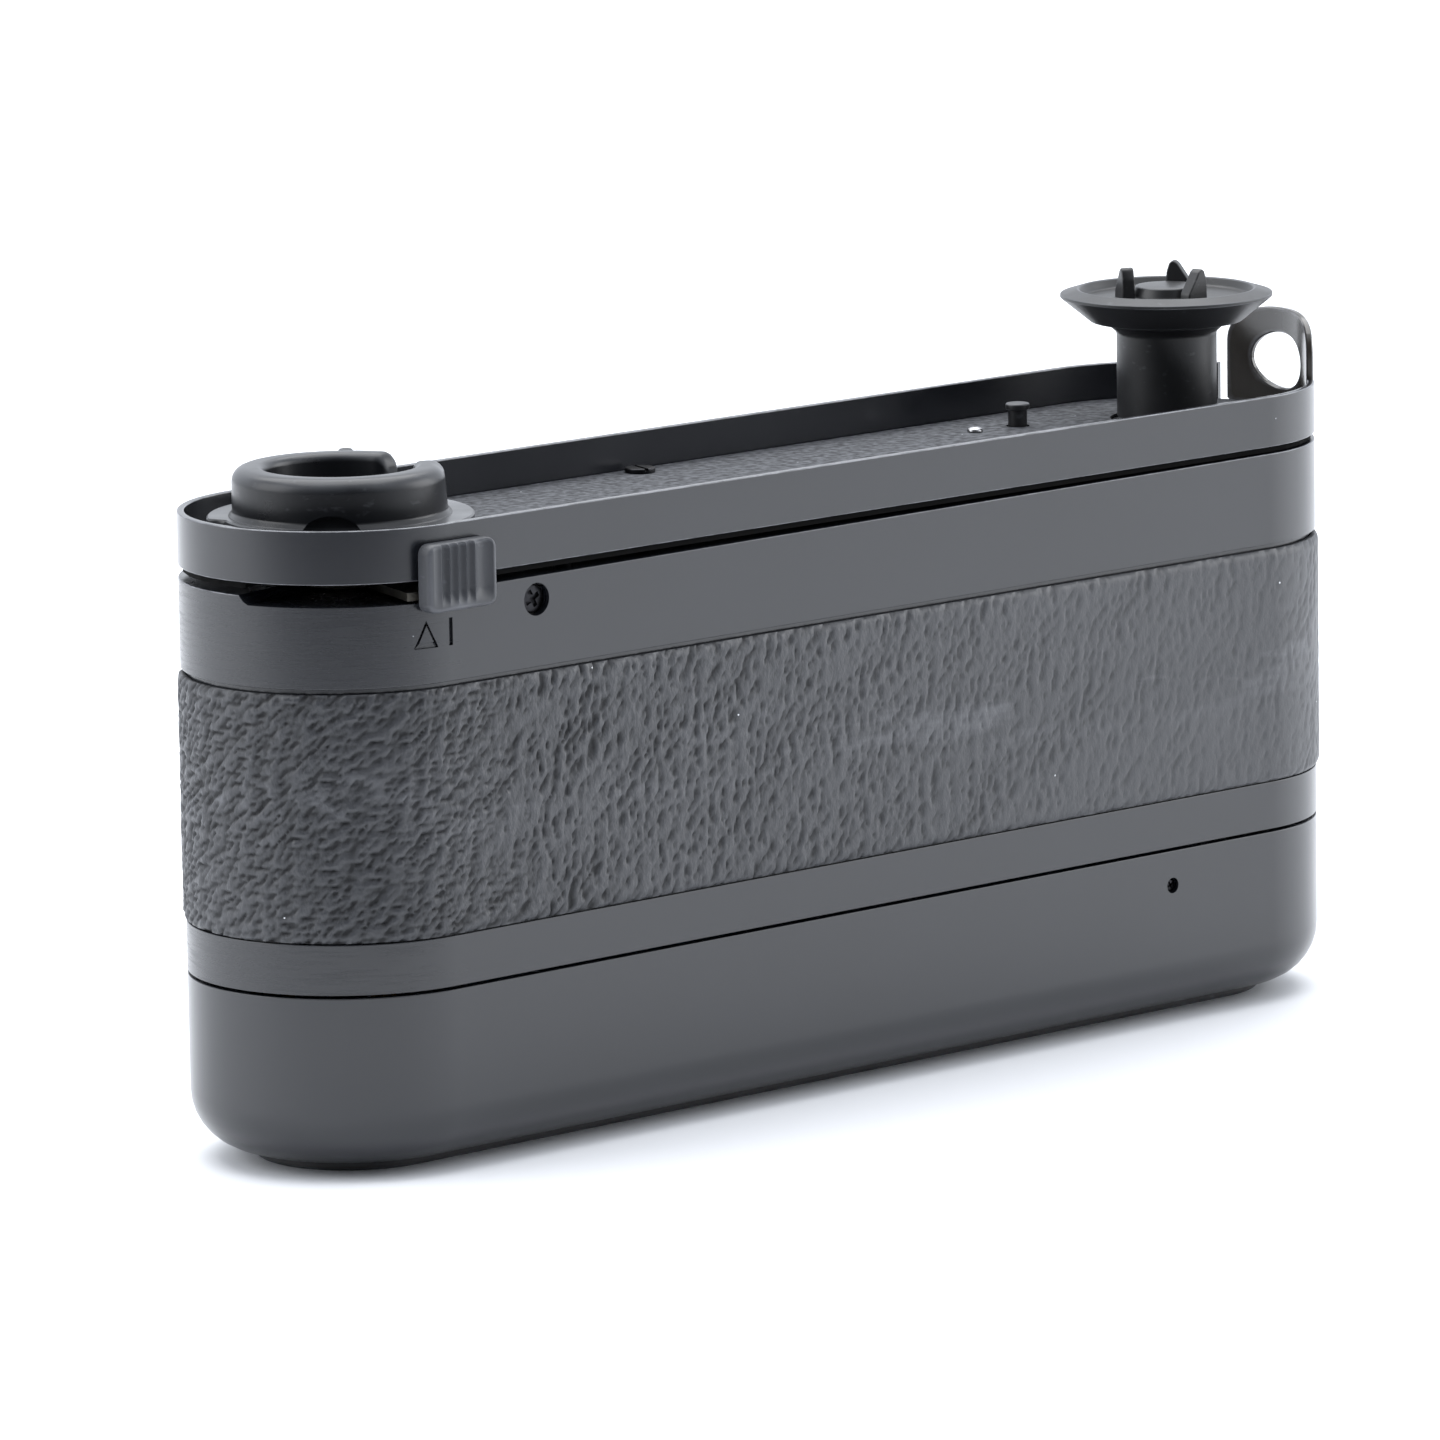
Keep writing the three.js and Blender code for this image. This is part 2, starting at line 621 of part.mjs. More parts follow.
function gearTrain() {
  const pinion1Turn = meshTurn(PINION_TEETH, 0, DRIVE_TEETH);
  const pinion2Turn = meshTurn(PINION_TEETH, 0, WHEEL_1_TEETH);
  const motorTurn = meshTurn(MOTOR_TEETH, 0, WHEEL_2_TEETH);
  const driveBore = drill(DRIVE_SHAFT + FIT, DRIVE_X);
  const driveBoss = rod(DRIVE_BOSS, LEVEL_A - GEAR_THICK, LEVEL_A + FIT, DRIVE_X);
  const driveGear = join(gear(DRIVE_TEETH, 0, LEVEL_A, DRIVE_X), driveBoss);
  piece("drive_gear", cut(driveGear, driveBore), brass);

  const pin1 = drill(GEAR_PIN + PIN_CLEARANCE, GEAR_1_X);
  const sleeve1 = rod(GEAR_SLEEVE, LEVEL_B + GEAR_THICK - FIT, LEVEL_A + FIT, GEAR_1_X);
  const wheel1 = gear(WHEEL_1_TEETH, 0, LEVEL_B, GEAR_1_X);
  const pinion1 = gear(PINION_TEETH, pinion1Turn, LEVEL_A, GEAR_1_X);
  piece("reduction_gear_1", cut(join(wheel1, sleeve1, pinion1), pin1), brass);

  const pin2 = drill(GEAR_PIN + PIN_CLEARANCE, GEAR_2_X);
  const sleeve2 = rod(GEAR_SLEEVE, LEVEL_C + GEAR_THICK - FIT, LEVEL_B + FIT, GEAR_2_X);
  const wheel2 = gear(WHEEL_2_TEETH, 0, LEVEL_C, GEAR_2_X);
  const pinion2 = gear(PINION_TEETH, pinion2Turn, LEVEL_B, GEAR_2_X);
  piece("reduction_gear_2", cut(join(wheel2, sleeve2, pinion2), pin2), darkPlastic);

  const motorPinion = gear(MOTOR_TEETH, motorTurn, LEVEL_C, MOTOR_X);
  piece("motor_pinion", cut(motorPinion, drill(MOTOR.shaft + FIT, MOTOR_X)), brass);
}

function motor() {
  const { radius, chamfer, boss, bore, shaft, shoulder } = MOTOR;
  const low = CHASSIS_HIGH + 2 * GAP;
  const high = GEAR_PLATE_LOW - GAP;
  const boreFloor = high - shoulder - shaft - FIT;
  const can = [
    [0, low],
    [radius - chamfer, low],
    [radius, low + chamfer],
    [radius, high - shoulder - chamfer],
    [radius - chamfer, high - shoulder],
    [boss, high - shoulder],
    [boss, GEAR_PLATE_HIGH - FIT],
    [bore, GEAR_PLATE_HIGH - FIT],
    [bore, boreFloor],
    [0, boreFloor],
  ];
  piece("motor", turned(can, MOTOR_X, 0, 28), steel);
  const shaftTop = LEVEL_C + GEAR_THICK + GAP;
  piece("motor_shaft", rod(shaft, boreFloor + FIT, shaftTop, MOTOR_X), steel);
}

// Two leads that drop in a curve from the circuit board to the motor.
function leads() {
  const end = CHASSIS_HIGH + 4;
  const span = LEAD.motorX - LEAD.boardX;
  for (const [name, y, rise] of [["lead_red", -4, 6], ["lead_black", 4, 9]]) {
    const path = new THREE.CatmullRomCurve3([
      new THREE.Vector3(LEAD.boardX, y, end + rise),
      new THREE.Vector3(LEAD.boardX + 0.45 * span, y, end + rise + 1),
      new THREE.Vector3(LEAD.boardX + 0.78 * span, y * 1.4, end + 2),
      new THREE.Vector3(LEAD.motorX, y, end),
    ]);
    piece(name, wire(path, LEAD.radius, 12, 6), blackRubber);
  }
}

// A plain block that stands on the circuit board.
function boardBlock({ left, right, front, rear, tall }) {
  const top = BOARD.low + BOARD.thick;
  return box(left, front, top - FIT, right, rear, top + tall);
}

function circuitBoard() {
  const top = BOARD.low + BOARD.thick;
  const board = box(BOARD.left, -BOARD.halfWidth, BOARD.low, BOARD.right, BOARD.halfWidth, top);
  const { x, y, radius, tall } = CAPACITOR;
  const capacitor = rod(radius, top - FIT, top + tall, x, y, 16);
  const blocks = [CHIP, RELAY].map(boardBlock);
  piece("circuit_board", join(board, capacitor, ...blocks), boardGreen);
  const bladeLow = CELL_Z + SUPPLY_BLADE.overlap;
  for (const [name, side] of [["front", -1], ["rear", 1]]) {
    const { x: bladeX, thick, halfWidth } = SUPPLY_BLADE;
    const blade = plateAcross(bladeX, thick, halfWidth, side * CELL_Y, bladeLow, CHASSIS_LOW - FIT);
    piece(`supply_blade_${name}`, blade, brass);
  }
}

// ---- Tray that the camera sits in ----
function trayHoles() {
  return [
    drill(LOCK_HUB + FIT + GAP, LOCK_X, 0, 32),
    rod(BUSH_FLANGE + 2 * FIT, FAR_BELOW, TRAY_FLOOR + 1, DRIVE_X),
    drill(TRIP.stem + 2 * FIT, TRIP.x, TRIP.y, 16),
    drill(RIVET.radius - GAP, RIVET.x, RIVET.y, 12),
    drill(STUD.radius + FIT, STUD.x, STUD.y, 12),
    ...TRAY_SCREWS.map(([x, y]) => drill(TRAY_SCREW_HOLE, x, y, 12)),
  ];
}

function tray() {
  const outer = prism(slotOutline(END_RADIUS), TRAY_BOTTOM, TRAY_RIM);
  const inner = prism(slotOutline(END_RADIUS - RIM_WALL), TRAY_FLOOR, TRAY_RIM + 1);
  const margin = HOOK_HALF_ANGLE + 1.2;
  const wedge = sectorOutline(END_RADIUS + 3, HOOK_ANGLE - margin, HOOK_ANGLE + margin, ARC_X);
  const notch = prism(wedge, TRAY_FLOOR, TRAY_RIM + 1);
  piece("tray", cut(outer, inner, notch, ...trayHoles()), blackPaint);
}

function trayLiner() {
  const sheet = prism(slotOutline(END_RADIUS - RIM_WALL - GAP), TRAY_FLOOR + 0.05, TRAY_FLOOR + LINER);
  const lockHole = drill(LOCK_HUB + 1, LOCK_X, 0, 32);
  const driveHole = drill(COUPLING_HUB + 0.7, DRIVE_X, 0, 32);
  piece("tray_liner", cut(sheet, lockHole, driveHole, ...trayHoles()), flock);
}

function traySpacer() {
  const low = HOUSING_TOP + FIT;
  const high = TRAY_BOTTOM - FIT;
  const plate = prism(slotOutline(END_RADIUS - SPACER_INSET), low, high);
  const holes = [
    lockSweep(END_RADIUS + 1, low - 1, high + 1),
    drill(TRAY_DRIVE_HOLE, DRIVE_X),
    drill(TRIP_POCKET, TRIP.x, TRIP.y, 16),
    ...TRAY_SCREWS.map(([x, y]) => drill(TRAY_SCREW_HOLE, x, y, 12)),
  ];
  piece("tray_spacer", cut(plate, ...holes), darkPlastic);
}

// The tab is a slice of the end wall, cut to an arch, with an oval hole for the camera's side pin.
function hookTab() {
  const inner = END_RADIUS - RIM_WALL;
  const from = HOOK_ANGLE - HOOK_HALF_ANGLE;
  const to = HOOK_ANGLE + HOOK_HALF_ANGLE;
  const low = TRAY_FLOOR + 0.1;
  const arcSteps = 16;
  const band = [];
  for (const [radius, start, end] of [[END_RADIUS, from, to], [inner, to, from]]) {
    for (let i = 0; i <= arcSteps; i += 1) {
      const angle = (start + ((end - start) * i) / arcSteps) * DEGREE;
      band.push([radius * Math.cos(angle), radius * Math.sin(angle)]);
    }
  }
  const wall = prism(band, low, HOOK_TOP + 1).rotate([0, 0, -HOOK_ANGLE]);
  const arch = [
    [-HOOK_HALF_WIDTH - 1, low - 1],
    [HOOK_HALF_WIDTH + 1, low - 1],
    [HOOK_HALF_WIDTH + 1, HOOK_SHOULDER],
  ];
  const rise = HOOK_TOP - HOOK_SHOULDER;
  const archSteps = 20;
  for (let i = 0; i <= archSteps; i += 1) {
    const angle = (Math.PI * i) / archSteps;
    const across = Math.sign(Math.cos(angle)) * Math.abs(Math.cos(angle)) ** 0.8;
    arch.push([HOOK_HALF_WIDTH * across, HOOK_SHOULDER + rise * Math.sin(angle) ** 0.8]);
  }
  arch.push([-HOOK_HALF_WIDTH - 1, HOOK_SHOULDER]);
  const hole = [];
  const holeSteps = 28;
  for (let i = 0; i < holeSteps; i += 1) {
    const angle = (2 * Math.PI * i) / holeSteps;
    const across = (HOOK_HOLE_WIDTH / 2) * Math.cos(angle);
    hole.push([across, HOOK_HOLE_Z + (HOOK_HOLE_HEIGHT / 2) * Math.sin(angle)]);
  }
  const across = (outline) => sidePrism(outline, -20, -5).rotate([0, 0, 90]);
  const tab = cut(wall.intersect(across(arch)), across(hole));
  piece("hook_tab", tab.rotate([0, 0, HOOK_ANGLE]).translate([ARC_X, 0, 0]), blackPaint);
}

function trayFasteners() {
  TRAY_SCREWS.forEach(([x, y], i) => {
    const top = TRAY_FLOOR + LINER + 0.5;
    const head = rod(1.5, TRAY_FLOOR + LINER + 0.05, top, x, y, 20);
    const shank = rod(0.8, ROOF_UNDERSIDE + 1, TRAY_FLOOR + LINER + 0.1, x, y, 12);
    const slot = box(x - 2, y - 0.2, top - 0.25, x + 2, y + 0.2, top + 1);
    piece(`tray_screw_${i + 1}`, cut(join(head, shank), slot), steel);
  });
  const rivetHead = [
    [0, TRAY_FLOOR + LINER + 0.05],
    [RIVET.radius, TRAY_FLOOR + LINER + 0.05],
    [RIVET.radius * 0.8, TRAY_FLOOR + LINER + 0.35],
    [RIVET.radius * 0.4, TRAY_FLOOR + LINER + 0.5],
    [0, TRAY_FLOOR + LINER + 0.5],
  ];
  piece("tray_rivet", turned(rivetHead, RIVET.x, RIVET.y, 16), steel);
  const studBase = rod(STUD.radius, TRAY_FLOOR - 0.8, STUD.top - 0.9, STUD.x, STUD.y, 16);
  const studCap = rod(STUD.radius + 0.12, STUD.top - 1, STUD.top, STUD.x, STUD.y, 16);
  piece("locating_stud", join(studBase, studCap), blackPaint);
}

// ---- Trip pin that the camera presses ----
function tripPin() {
  const { x, y, stem, head, top, collar } = TRIP;
  const mushroom = turned(
    [
      [0, top - 0.6],
      [head, top - 0.6],
      [head, top - 0.3],
      [head - 0.3, top],
      [0, top],
    ],
    x,
    y,
    20,
  );
  const shank = rod(stem, ROOF_UNDERSIDE - 2.3, top - 0.5, x, y, 16);
  const ledge = rod(collar, TRIP_LEDGE.low, TRIP_LEDGE.high, x, y, 20);
  piece("trip_pin", join(mushroom, shank, ledge), darkPlastic);
  const springLow = HOUSING_TOP - BUSH_DROP + FIT;
  const spring = coil(1.35, 0.16, 2, springLow, TRIP_LEDGE.low - FIT).translate([x, y, 0]);
  piece("trip_spring", spring, steel);
}

// ---- Camera lock: C ring, shaft, lever, knob and the switch below ----
function ringProfile() {
  const profile = [[RING_INNER, FLANGE_TOP - 0.2]];
  const arc = (x, z, from, to) => {
    for (let i = 0; i <= 3; i += 1) {
      const angle = (from + ((to - from) * i) / 3) * DEGREE;
      profile.push([x + RING_ROUND * Math.cos(angle), z + RING_ROUND * Math.sin(angle)]);
    }
  };
  const z = RING_TOP - RING_ROUND;
  arc(RING_INNER + RING_ROUND, z, 180, 90);
  arc(RING_OUTER - RING_ROUND, z, 90, 0);
  profile.push([RING_OUTER, FLANGE_TOP + 0.6]);
  profile.push([RING_OUTER + 0.4, FLANGE_TOP - 0.2]);
  profile.push(profile[0]);
  return profile;
}

// The rounded end of the C ring at the angle given.
function ringEnd(angle) {
  const middle = (RING_INNER + RING_OUTER) / 2;
  const radius = (RING_OUTER - RING_INNER) / 2;
  const x = LOCK_X + middle * Math.cos(angle * DEGREE);
  const y = middle * Math.sin(angle * DEGREE);
  const profile = [
    [0, FLANGE_TOP - 0.2],
    [radius, FLANGE_TOP - 0.2],
  ];
  for (let i = 0; i <= 3; i += 1) {
    const turn = (90 * DEGREE * i) / 3;
    const inset = RING_ROUND * (1 - Math.cos(turn));
    profile.push([radius - inset, RING_TOP - RING_ROUND * (1 - Math.sin(turn))]);
  }
  profile.push([0, RING_TOP]);
  return turned(profile, x, y, 14);
}

function lockRing() {
  const low = FLANGE_TOP - FLANGE_THICK;
  const full = turned(ringProfile(), LOCK_X, 0, 36);
  const opening = sectorOutline(FAR_OUT, RING_OPEN_FROM, RING_OPEN_TO, LOCK_X);
  const ring = cut(full, prism(opening, FLANGE_TOP - 1, RING_TOP + 1));
  const plate = rod(FLANGE_FRONT_RADIUS, low, FLANGE_TOP, LOCK_X, 0, 36);
  const cam = prism(sectorOutline(FLANGE_RADIUS, -80, 150, LOCK_X), low, FLANGE_TOP);
  const hub = rod(LOCK_HUB, TRAY_BOTTOM + 2 * FIT, low + FIT, LOCK_X, 0, 32);
  const ends = [ringEnd(RING_OPEN_FROM), ringEnd(RING_OPEN_TO)];
  const body = cut(join(ring, plate, cam, hub, ...ends), ringBite(low));
  piece("lock_ring", body, blackRubber);
  const capLow = FLANGE_TOP + FIT;
  const capTop = capLow + LOCK_CAP.thick;
  const cap = rod(LOCK_CAP.radius, capLow, capTop, LOCK_X, 0, 24);
  const half = LOCK_CAP.slot;
  const slot = box(LOCK_X - 5, -half, capTop - 0.4, LOCK_X + 5, half, FAR_ABOVE);
  piece("lock_cap_screw", cut(cap, slot), steel);
}

// The half-oval bite out of the ring's lower edge.
function ringBite(low) {
  const { angle, halfWidth, rise, from, to } = BITE;
  const oval = circleOutline(1, 24).map(([x, z]) => [halfWidth * x, low + rise * z]);
  return sidePrism(oval, -to, -from).rotate([0, 0, angle + 90]).translate([LOCK_X, 0, 0]);
}

function lockShaftParts() {
  piece("lock_shaft", rod(LOCK_SHAFT, SHAFT_LOW, TRAY_BOTTOM - FIT, LOCK_X), steel);
  const bushTop = HOUSING_TOP - LEVER_RECESS - FIT;
  const bush = rod(BUSH_FLANGE, ROOF_UNDERSIDE - BUSH_DROP, bushTop, LOCK_X);
  piece("lock_bush", cut(bush, drill(LOCK_SHAFT + RUN_CLEARANCE, LOCK_X)), brass);
  const { low, thick, radius, lobe, reach } = SWITCH_CAM;
  const disc = rod(radius, low, low + thick, LOCK_X);
  const nose = rod(lobe, low, low + thick, LOCK_X + reach);
  piece("switch_cam", cut(join(disc, nose), drill(LOCK_SHAFT + FIT, LOCK_X)), darkPlastic);
  const mouth = LOCK_SHAFT / 2;
  const clip = cut(
    rod(LOCK_CLIP.radius, LOCK_CLIP.low, LOCK_CLIP.low + LOCK_CLIP.thick, LOCK_X),
    drill(LOCK_SHAFT + FIT, LOCK_X),
    box(LOCK_X - mouth, -FAR_OUT, SHAFT_LOW, LOCK_X + mouth, 0, low),
  );
  piece("lock_clip", clip, steel);
}

function lockLever() {
  const hub = rod(LEVER_HUB, LEVER_LOW, LEVER_HIGH, LOCK_X);
  const from = LEVER_ANGLE - LEVER_HALF_ANGLE;
  const arm = sectorOutline(KNOB_BACK - GAP, from, LEVER_ANGLE + LEVER_HALF_ANGLE, LOCK_X);
  const body = join(hub, prism(arm, LEVER_LOW, LEVER_HIGH));
  piece("lock_lever", cut(body, drill(LOCK_SHAFT + FIT, LOCK_X)), steel);
}

// The knob's plan has rounded corners and upright grooves across its middle.
function leverKnob() {
  const corner = 0.8;
  const grooves = 5;
  const pitch = 0.95;
  const middle = (KNOB_LEFT + KNOB_RIGHT) / 2;
  const plan = [
    [KNOB_RIGHT, -KNOB_BACK],
    [KNOB_LEFT, -KNOB_BACK],
    [KNOB_LEFT, -KNOB_FRONT + corner],
    [KNOB_LEFT + corner, -KNOB_FRONT],
  ];
  for (let i = 0; i < grooves; i += 1) {
    const x = middle + (i - (grooves - 1) / 2) * pitch;
    plan.push([x - 0.3, -KNOB_FRONT]);
    plan.push([x, -KNOB_FRONT + 0.4]);
    plan.push([x + 0.3, -KNOB_FRONT]);
  }
  plan.push([KNOB_RIGHT - corner, -KNOB_FRONT]);
  plan.push([KNOB_RIGHT, -KNOB_FRONT + corner]);
  piece("lever_knob", prism(plan, KNOB_LOW, KNOB_HIGH), greyPlastic);
}

function switchParts() {
  const { left, right, half, low, high } = MAIN_SWITCH;
  const body = box(left, -half, low, right, half, high);
  const button = box(left - 0.6, -0.7, SWITCH_CAM.low + 0.2, left + FIT, 0.7, SWITCH_CAM.low + 1.3);
  piece("main_switch", join(body, button), darkPlastic);
  const spring = new THREE.CatmullRomCurve3([
    new THREE.Vector3(-49, 10.5, DETENT_SPRING_Z),
    new THREE.Vector3(-51.5, 7.6, DETENT_SPRING_Z),
    new THREE.Vector3(-54.5, 5.8, DETENT_SPRING_Z),
    new THREE.Vector3(-58, 7.2, DETENT_SPRING_Z),
  ]);
  piece("detent_spring", wire(spring, 0.35, 12, 6), steel);
  const { x, y, low: postLow, neck, foot } = DETENT_POST;
  const postTop = DETENT_SPRING_Z + 1.7;
  const post = rod(neck, postLow, postTop, x, y, 12);
  piece("detent_post", join(post, rod(foot, postTop, ROOF_UNDERSIDE - FIT, x, y, 12)), brass);
}

// ---- Drive coupling ----
// One dog tooth: steep on its anticlockwise side, a ramp on the other.
function dogTooth(angle) {
  const low = COUPLING_TOP - 1.2;
  const profile = [
    [-1.8, low],
    [0.8, low],
    [0.7, COUPLING_TOP + 0.8],
    [0.2, COUPLING_TOP + TOOTH_RISE],
    [-0.4, COUPLING_TOP + TOOTH_RISE - 0.2],
    [-1.7, COUPLING_TOP],
  ];
  const tooth = sidePrism(profile, -TOOTH_RADIUS - TOOTH_HALF, -TOOTH_RADIUS + TOOTH_HALF);
  return tooth.rotate([0, 0, angle + 90]);
}

function couplingHead() {
  const dish = COUPLING_TOP - 0.9;
  const profile = [
    [0, COUPLING_TOP + 0.3],
    [2.8, COUPLING_TOP + 0.3],
    [3.1, COUPLING_TOP],
    [3.3, dish],
    [8, dish],
    [8.5, COUPLING_TOP - 0.1],
    [8.9, COUPLING_TOP],
    [COUPLING_RADIUS, COUPLING_TOP - 0.5],
    [COUPLING_RADIUS, COUPLING_TOP - 0.9],
    [7.7, COUPLING_TOP - 3.2],
    [5.8, COUPLING_TOP - 3.7],
    [5.2, COUPLING_TOP - 4],
    [COUPLING_HUB, COUPLING_TOP - 4.6],
    [COUPLING_HUB, TRAY_FLOOR + LINER + FIT],
    [DRIVE_SHAFT + FIT, TRAY_FLOOR + LINER + FIT],
    [DRIVE_SHAFT + FIT, COUPLING_TOP - 3],
    [0, COUPLING_TOP - 3],
  ];
  const head = turned(profile, 0, 0, 36);
  const made = join(head, ...TOOTH_ANGLES.map(dogTooth));
  piece("coupling_head", made.translate([DRIVE_X, 0, 0]), blackRubber);
  const shaftTop = COUPLING_TOP - 3.2;
  piece("drive_shaft", rod(DRIVE_SHAFT, GEAR_PLATE_HIGH + GAP, shaftTop, DRIVE_X), steel);
  const bush = rod(BUSH_FLANGE, ROOF_UNDERSIDE + FIT, TRAY_FLOOR, DRIVE_X);
  piece("drive_bush", cut(bush, drill(DRIVE_SHAFT + RUN_CLEARANCE, DRIVE_X)), brass);
}

batteryCase();
footPlate();
cells();
contacts();
tripodBush();
caseLockScrew();
grubScrew();
housing();
leatherBand();
sideScrew();
chassis();
gearPlate();
gearTrain();
motor();
leads();
circuitBoard();
tray();
trayLiner();
traySpacer();
hookTab();
trayFasteners();
tripPin();
lockRing();
lockShaftParts();
lockLever();
leverKnob();
switchParts();
couplingHead();

export default winder;
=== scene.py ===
"""The looks of the camera winder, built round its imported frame.

Shapes are made in millimetres in the frame's own axes and turned into metres as each piece is
finished: +X runs towards the drive coupling, +Y is depth, +Z is up, and the table is at Z = 0.
"""

import math

import bmesh
import bpy
import numpy as np
from mathutils import Matrix, Quaternion, Vector


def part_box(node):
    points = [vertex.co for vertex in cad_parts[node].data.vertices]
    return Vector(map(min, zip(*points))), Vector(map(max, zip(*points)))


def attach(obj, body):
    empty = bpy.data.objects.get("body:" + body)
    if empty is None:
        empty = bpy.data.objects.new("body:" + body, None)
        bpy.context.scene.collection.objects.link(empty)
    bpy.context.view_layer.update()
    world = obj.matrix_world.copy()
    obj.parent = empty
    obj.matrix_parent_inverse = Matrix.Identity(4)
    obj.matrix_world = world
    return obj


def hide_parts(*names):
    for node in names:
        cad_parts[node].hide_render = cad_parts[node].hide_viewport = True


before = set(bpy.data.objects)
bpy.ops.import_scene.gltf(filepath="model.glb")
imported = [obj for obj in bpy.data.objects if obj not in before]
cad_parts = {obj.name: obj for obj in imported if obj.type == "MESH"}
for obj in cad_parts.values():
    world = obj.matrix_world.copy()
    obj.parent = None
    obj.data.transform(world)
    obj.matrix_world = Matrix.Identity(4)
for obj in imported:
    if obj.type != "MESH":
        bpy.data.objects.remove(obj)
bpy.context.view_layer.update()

MM = 0.001


def cad(node):
    """Lowest and highest corner of a CAD node, in millimetres."""
    low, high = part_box(node)
    return low / MM, high / MM


def centre(low, high):
    """The middle of a CAD node's box along each axis."""
    return (low.x + high.x) / 2, (low.y + high.y) / 2, (low.z + high.z) / 2


# ---- Sizes that the frame gives ----
CASE_LOW, CASE_HIGH = cad("battery_case")
HOUSING_LOW, HOUSING_HIGH = cad("housing")
TRAY_LOW, TRAY_HIGH = cad("tray")
LEATHER_LOW, LEATHER_HIGH = cad("leather_band")
LINER_LOW, LINER_HIGH = cad("tray_liner")
FOOT_LOW, FOOT_HIGH = cad("foot_plate")
KNOB_LOW, KNOB_HIGH = cad("lever_knob")
RING_LOW, RING_HIGH = cad("lock_ring")
HEAD_LOW, HEAD_HIGH = cad("coupling_head")
HOOK_LOW, HOOK_HIGH = cad("hook_tab")
TRIP_LOW, TRIP_HIGH = cad("trip_pin")
STUD_LOW, STUD_HIGH = cad("locating_stud")
RIVET_LOW, RIVET_HIGH = cad("tray_rivet")
BUSH_LOW, BUSH_HIGH = cad("tripod_bush")
CASE_LOCK_LOW, CASE_LOCK_HIGH = cad("case_lock_screw")
SIDE_SCREW_LOW, SIDE_SCREW_HIGH = cad("side_screw")
GRUB_LOW, GRUB_HIGH = cad("grub_screw")
CAP_LOW, CAP_HIGH = cad("lock_cap_screw")

END_RADIUS = HOUSING_HIGH.y
ARC_X = HOUSING_HIGH.x - END_RADIUS
LOCK_X = centre(CAP_LOW, CAP_HIGH)[0]
DRIVE_X = centre(HEAD_LOW, HEAD_HIGH)[0]
CASE_LOCK_X = centre(*cad("case_lock_clip"))[0]

# ---- Sizes of the finer shapes ----
ARC_STEPS = 56
CASE_WALL = 0.8
CASE_FLOOR = 1.2
CASE_FILLET = 5.5
HOUSING_WALL = 0.9
HOUSING_ROOF = 2.2
LEATHER_SEAT = 0.5
LEATHER_DROP = 0.35
# the share of the relief of the leather that is gone by its right end
FLATTENED = 0.7
RIM_WALL = 0.7
RECESS_DEEP = 1.45
RECESS_FROM = -171
RECESS_FLAT_FROM = -166
RECESS_TO = -73
ENGRAVED = 0.25
ENGRAVED_LINE = 0.45
MARKS_BELOW_TOP = 4.4
MARK_HALF = 1.3
TRIANGLE_X = -56.4
BAR_X = -53.85
TOP_FALL = 0.55
SEAM = 0.1
FLANGE_TOP = CAP_LOW.z - 0.1
FLANGE_THICK = 0.8
RING_INNER = 7.0
RING_OUTER = 10.1
HOOK_TURN = -10
DOG_TURN = 33.3
DOG_AWAY = 4.15
# where the knob's ridges stand, in shares of its half width, and how deep each flute is
KNOB_RIDGES = (-0.63, -0.40, -0.15, 0.09, 0.34)
KNOB_FLUTES = (0.42, 0.42, 0.42, 0.42, 0.40, 0.10)


# ---- Paths, outlines and sweeps ----
def rounded(corners, steps=4):
    """A path through (radius, height, rounding) corners, with arcs in place of the corners.

    Each point is (radius, height, edge): edge rises to 1 in the middle of an outward corner, and
    the solid lies on the left of the path.
    """
    path = []
    for i, (radius, height, rounding) in enumerate(corners):
        if rounding <= 0 or i in (0, len(corners) - 1):
            path.append((radius, height, 0.0))
            continue
        here = Vector((radius, height))
        into = (here - Vector(corners[i - 1][:2])).normalized()
        out = (Vector(corners[i + 1][:2]) - here).normalized()
        cross = into.x * out.y - into.y * out.x
        turn = math.acos(max(-1.0, min(1.0, into.dot(out))))
        start = here - into * rounding * math.tan(turn / 2)
        side = Vector((-into.y, into.x)) * math.copysign(1, cross)
        for k in range(steps + 1):
            angle = turn * k / steps
            point = start + into * rounding * math.sin(angle)
            point += side * rounding * (1 - math.cos(angle))
            edge = math.sin(math.pi * k / steps) if cross > 0 else 0.0
            path.append((point.x, point.y, edge))
    return path


def slot_outline(arc_steps=ARC_STEPS, side_steps=1):
    """Samples round the winder's slot shape as (centre x, direction x, direction y)."""
    samples = []
    for side in (1, -1):
        for i in range(arc_steps + 1):
            angle = math.pi * (i / arc_steps - 0.5)
            samples.append((side * ARC_X, side * math.cos(angle), side * math.sin(angle)))
        for i in range(1, side_steps):
            samples.append((side * ARC_X * (1 - 2 * i / side_steps), 0.0, side * 1.0))
    return np.array(samples)


def circle_outline(steps=64):
    angles = 2 * np.pi * np.arange(steps) / steps
    return np.stack([np.zeros(steps), np.cos(angles), np.sin(angles)], axis=1)


def placed(name, data):
    """A new object in the scene."""
    made = bpy.data.objects.new(name, data)
    bpy.context.scene.collection.objects.link(made)
    return made


def mesh_object(name, vertices, faces, edge=None):
    """A clean closed mesh from points in millimetres, its faces turned outward."""
    mesh = bpy.data.meshes.new(name)
    mesh.from_pydata([tuple(v) for v in vertices], [], faces)
    if edge is not None:
        mesh.attributes.new("edge", "FLOAT", "POINT").data.foreach_set("value", edge)
    shape = bmesh.new()
    shape.from_mesh(mesh)
    bmesh.ops.remove_doubles(shape, verts=shape.verts, dist=1e-4)
    bmesh.ops.dissolve_degenerate(shape, edges=shape.edges, dist=1e-5)
    bmesh.ops.recalc_face_normals(shape, faces=shape.faces)
    shape.to_mesh(mesh)
    shape.free()
    return placed(name, mesh)


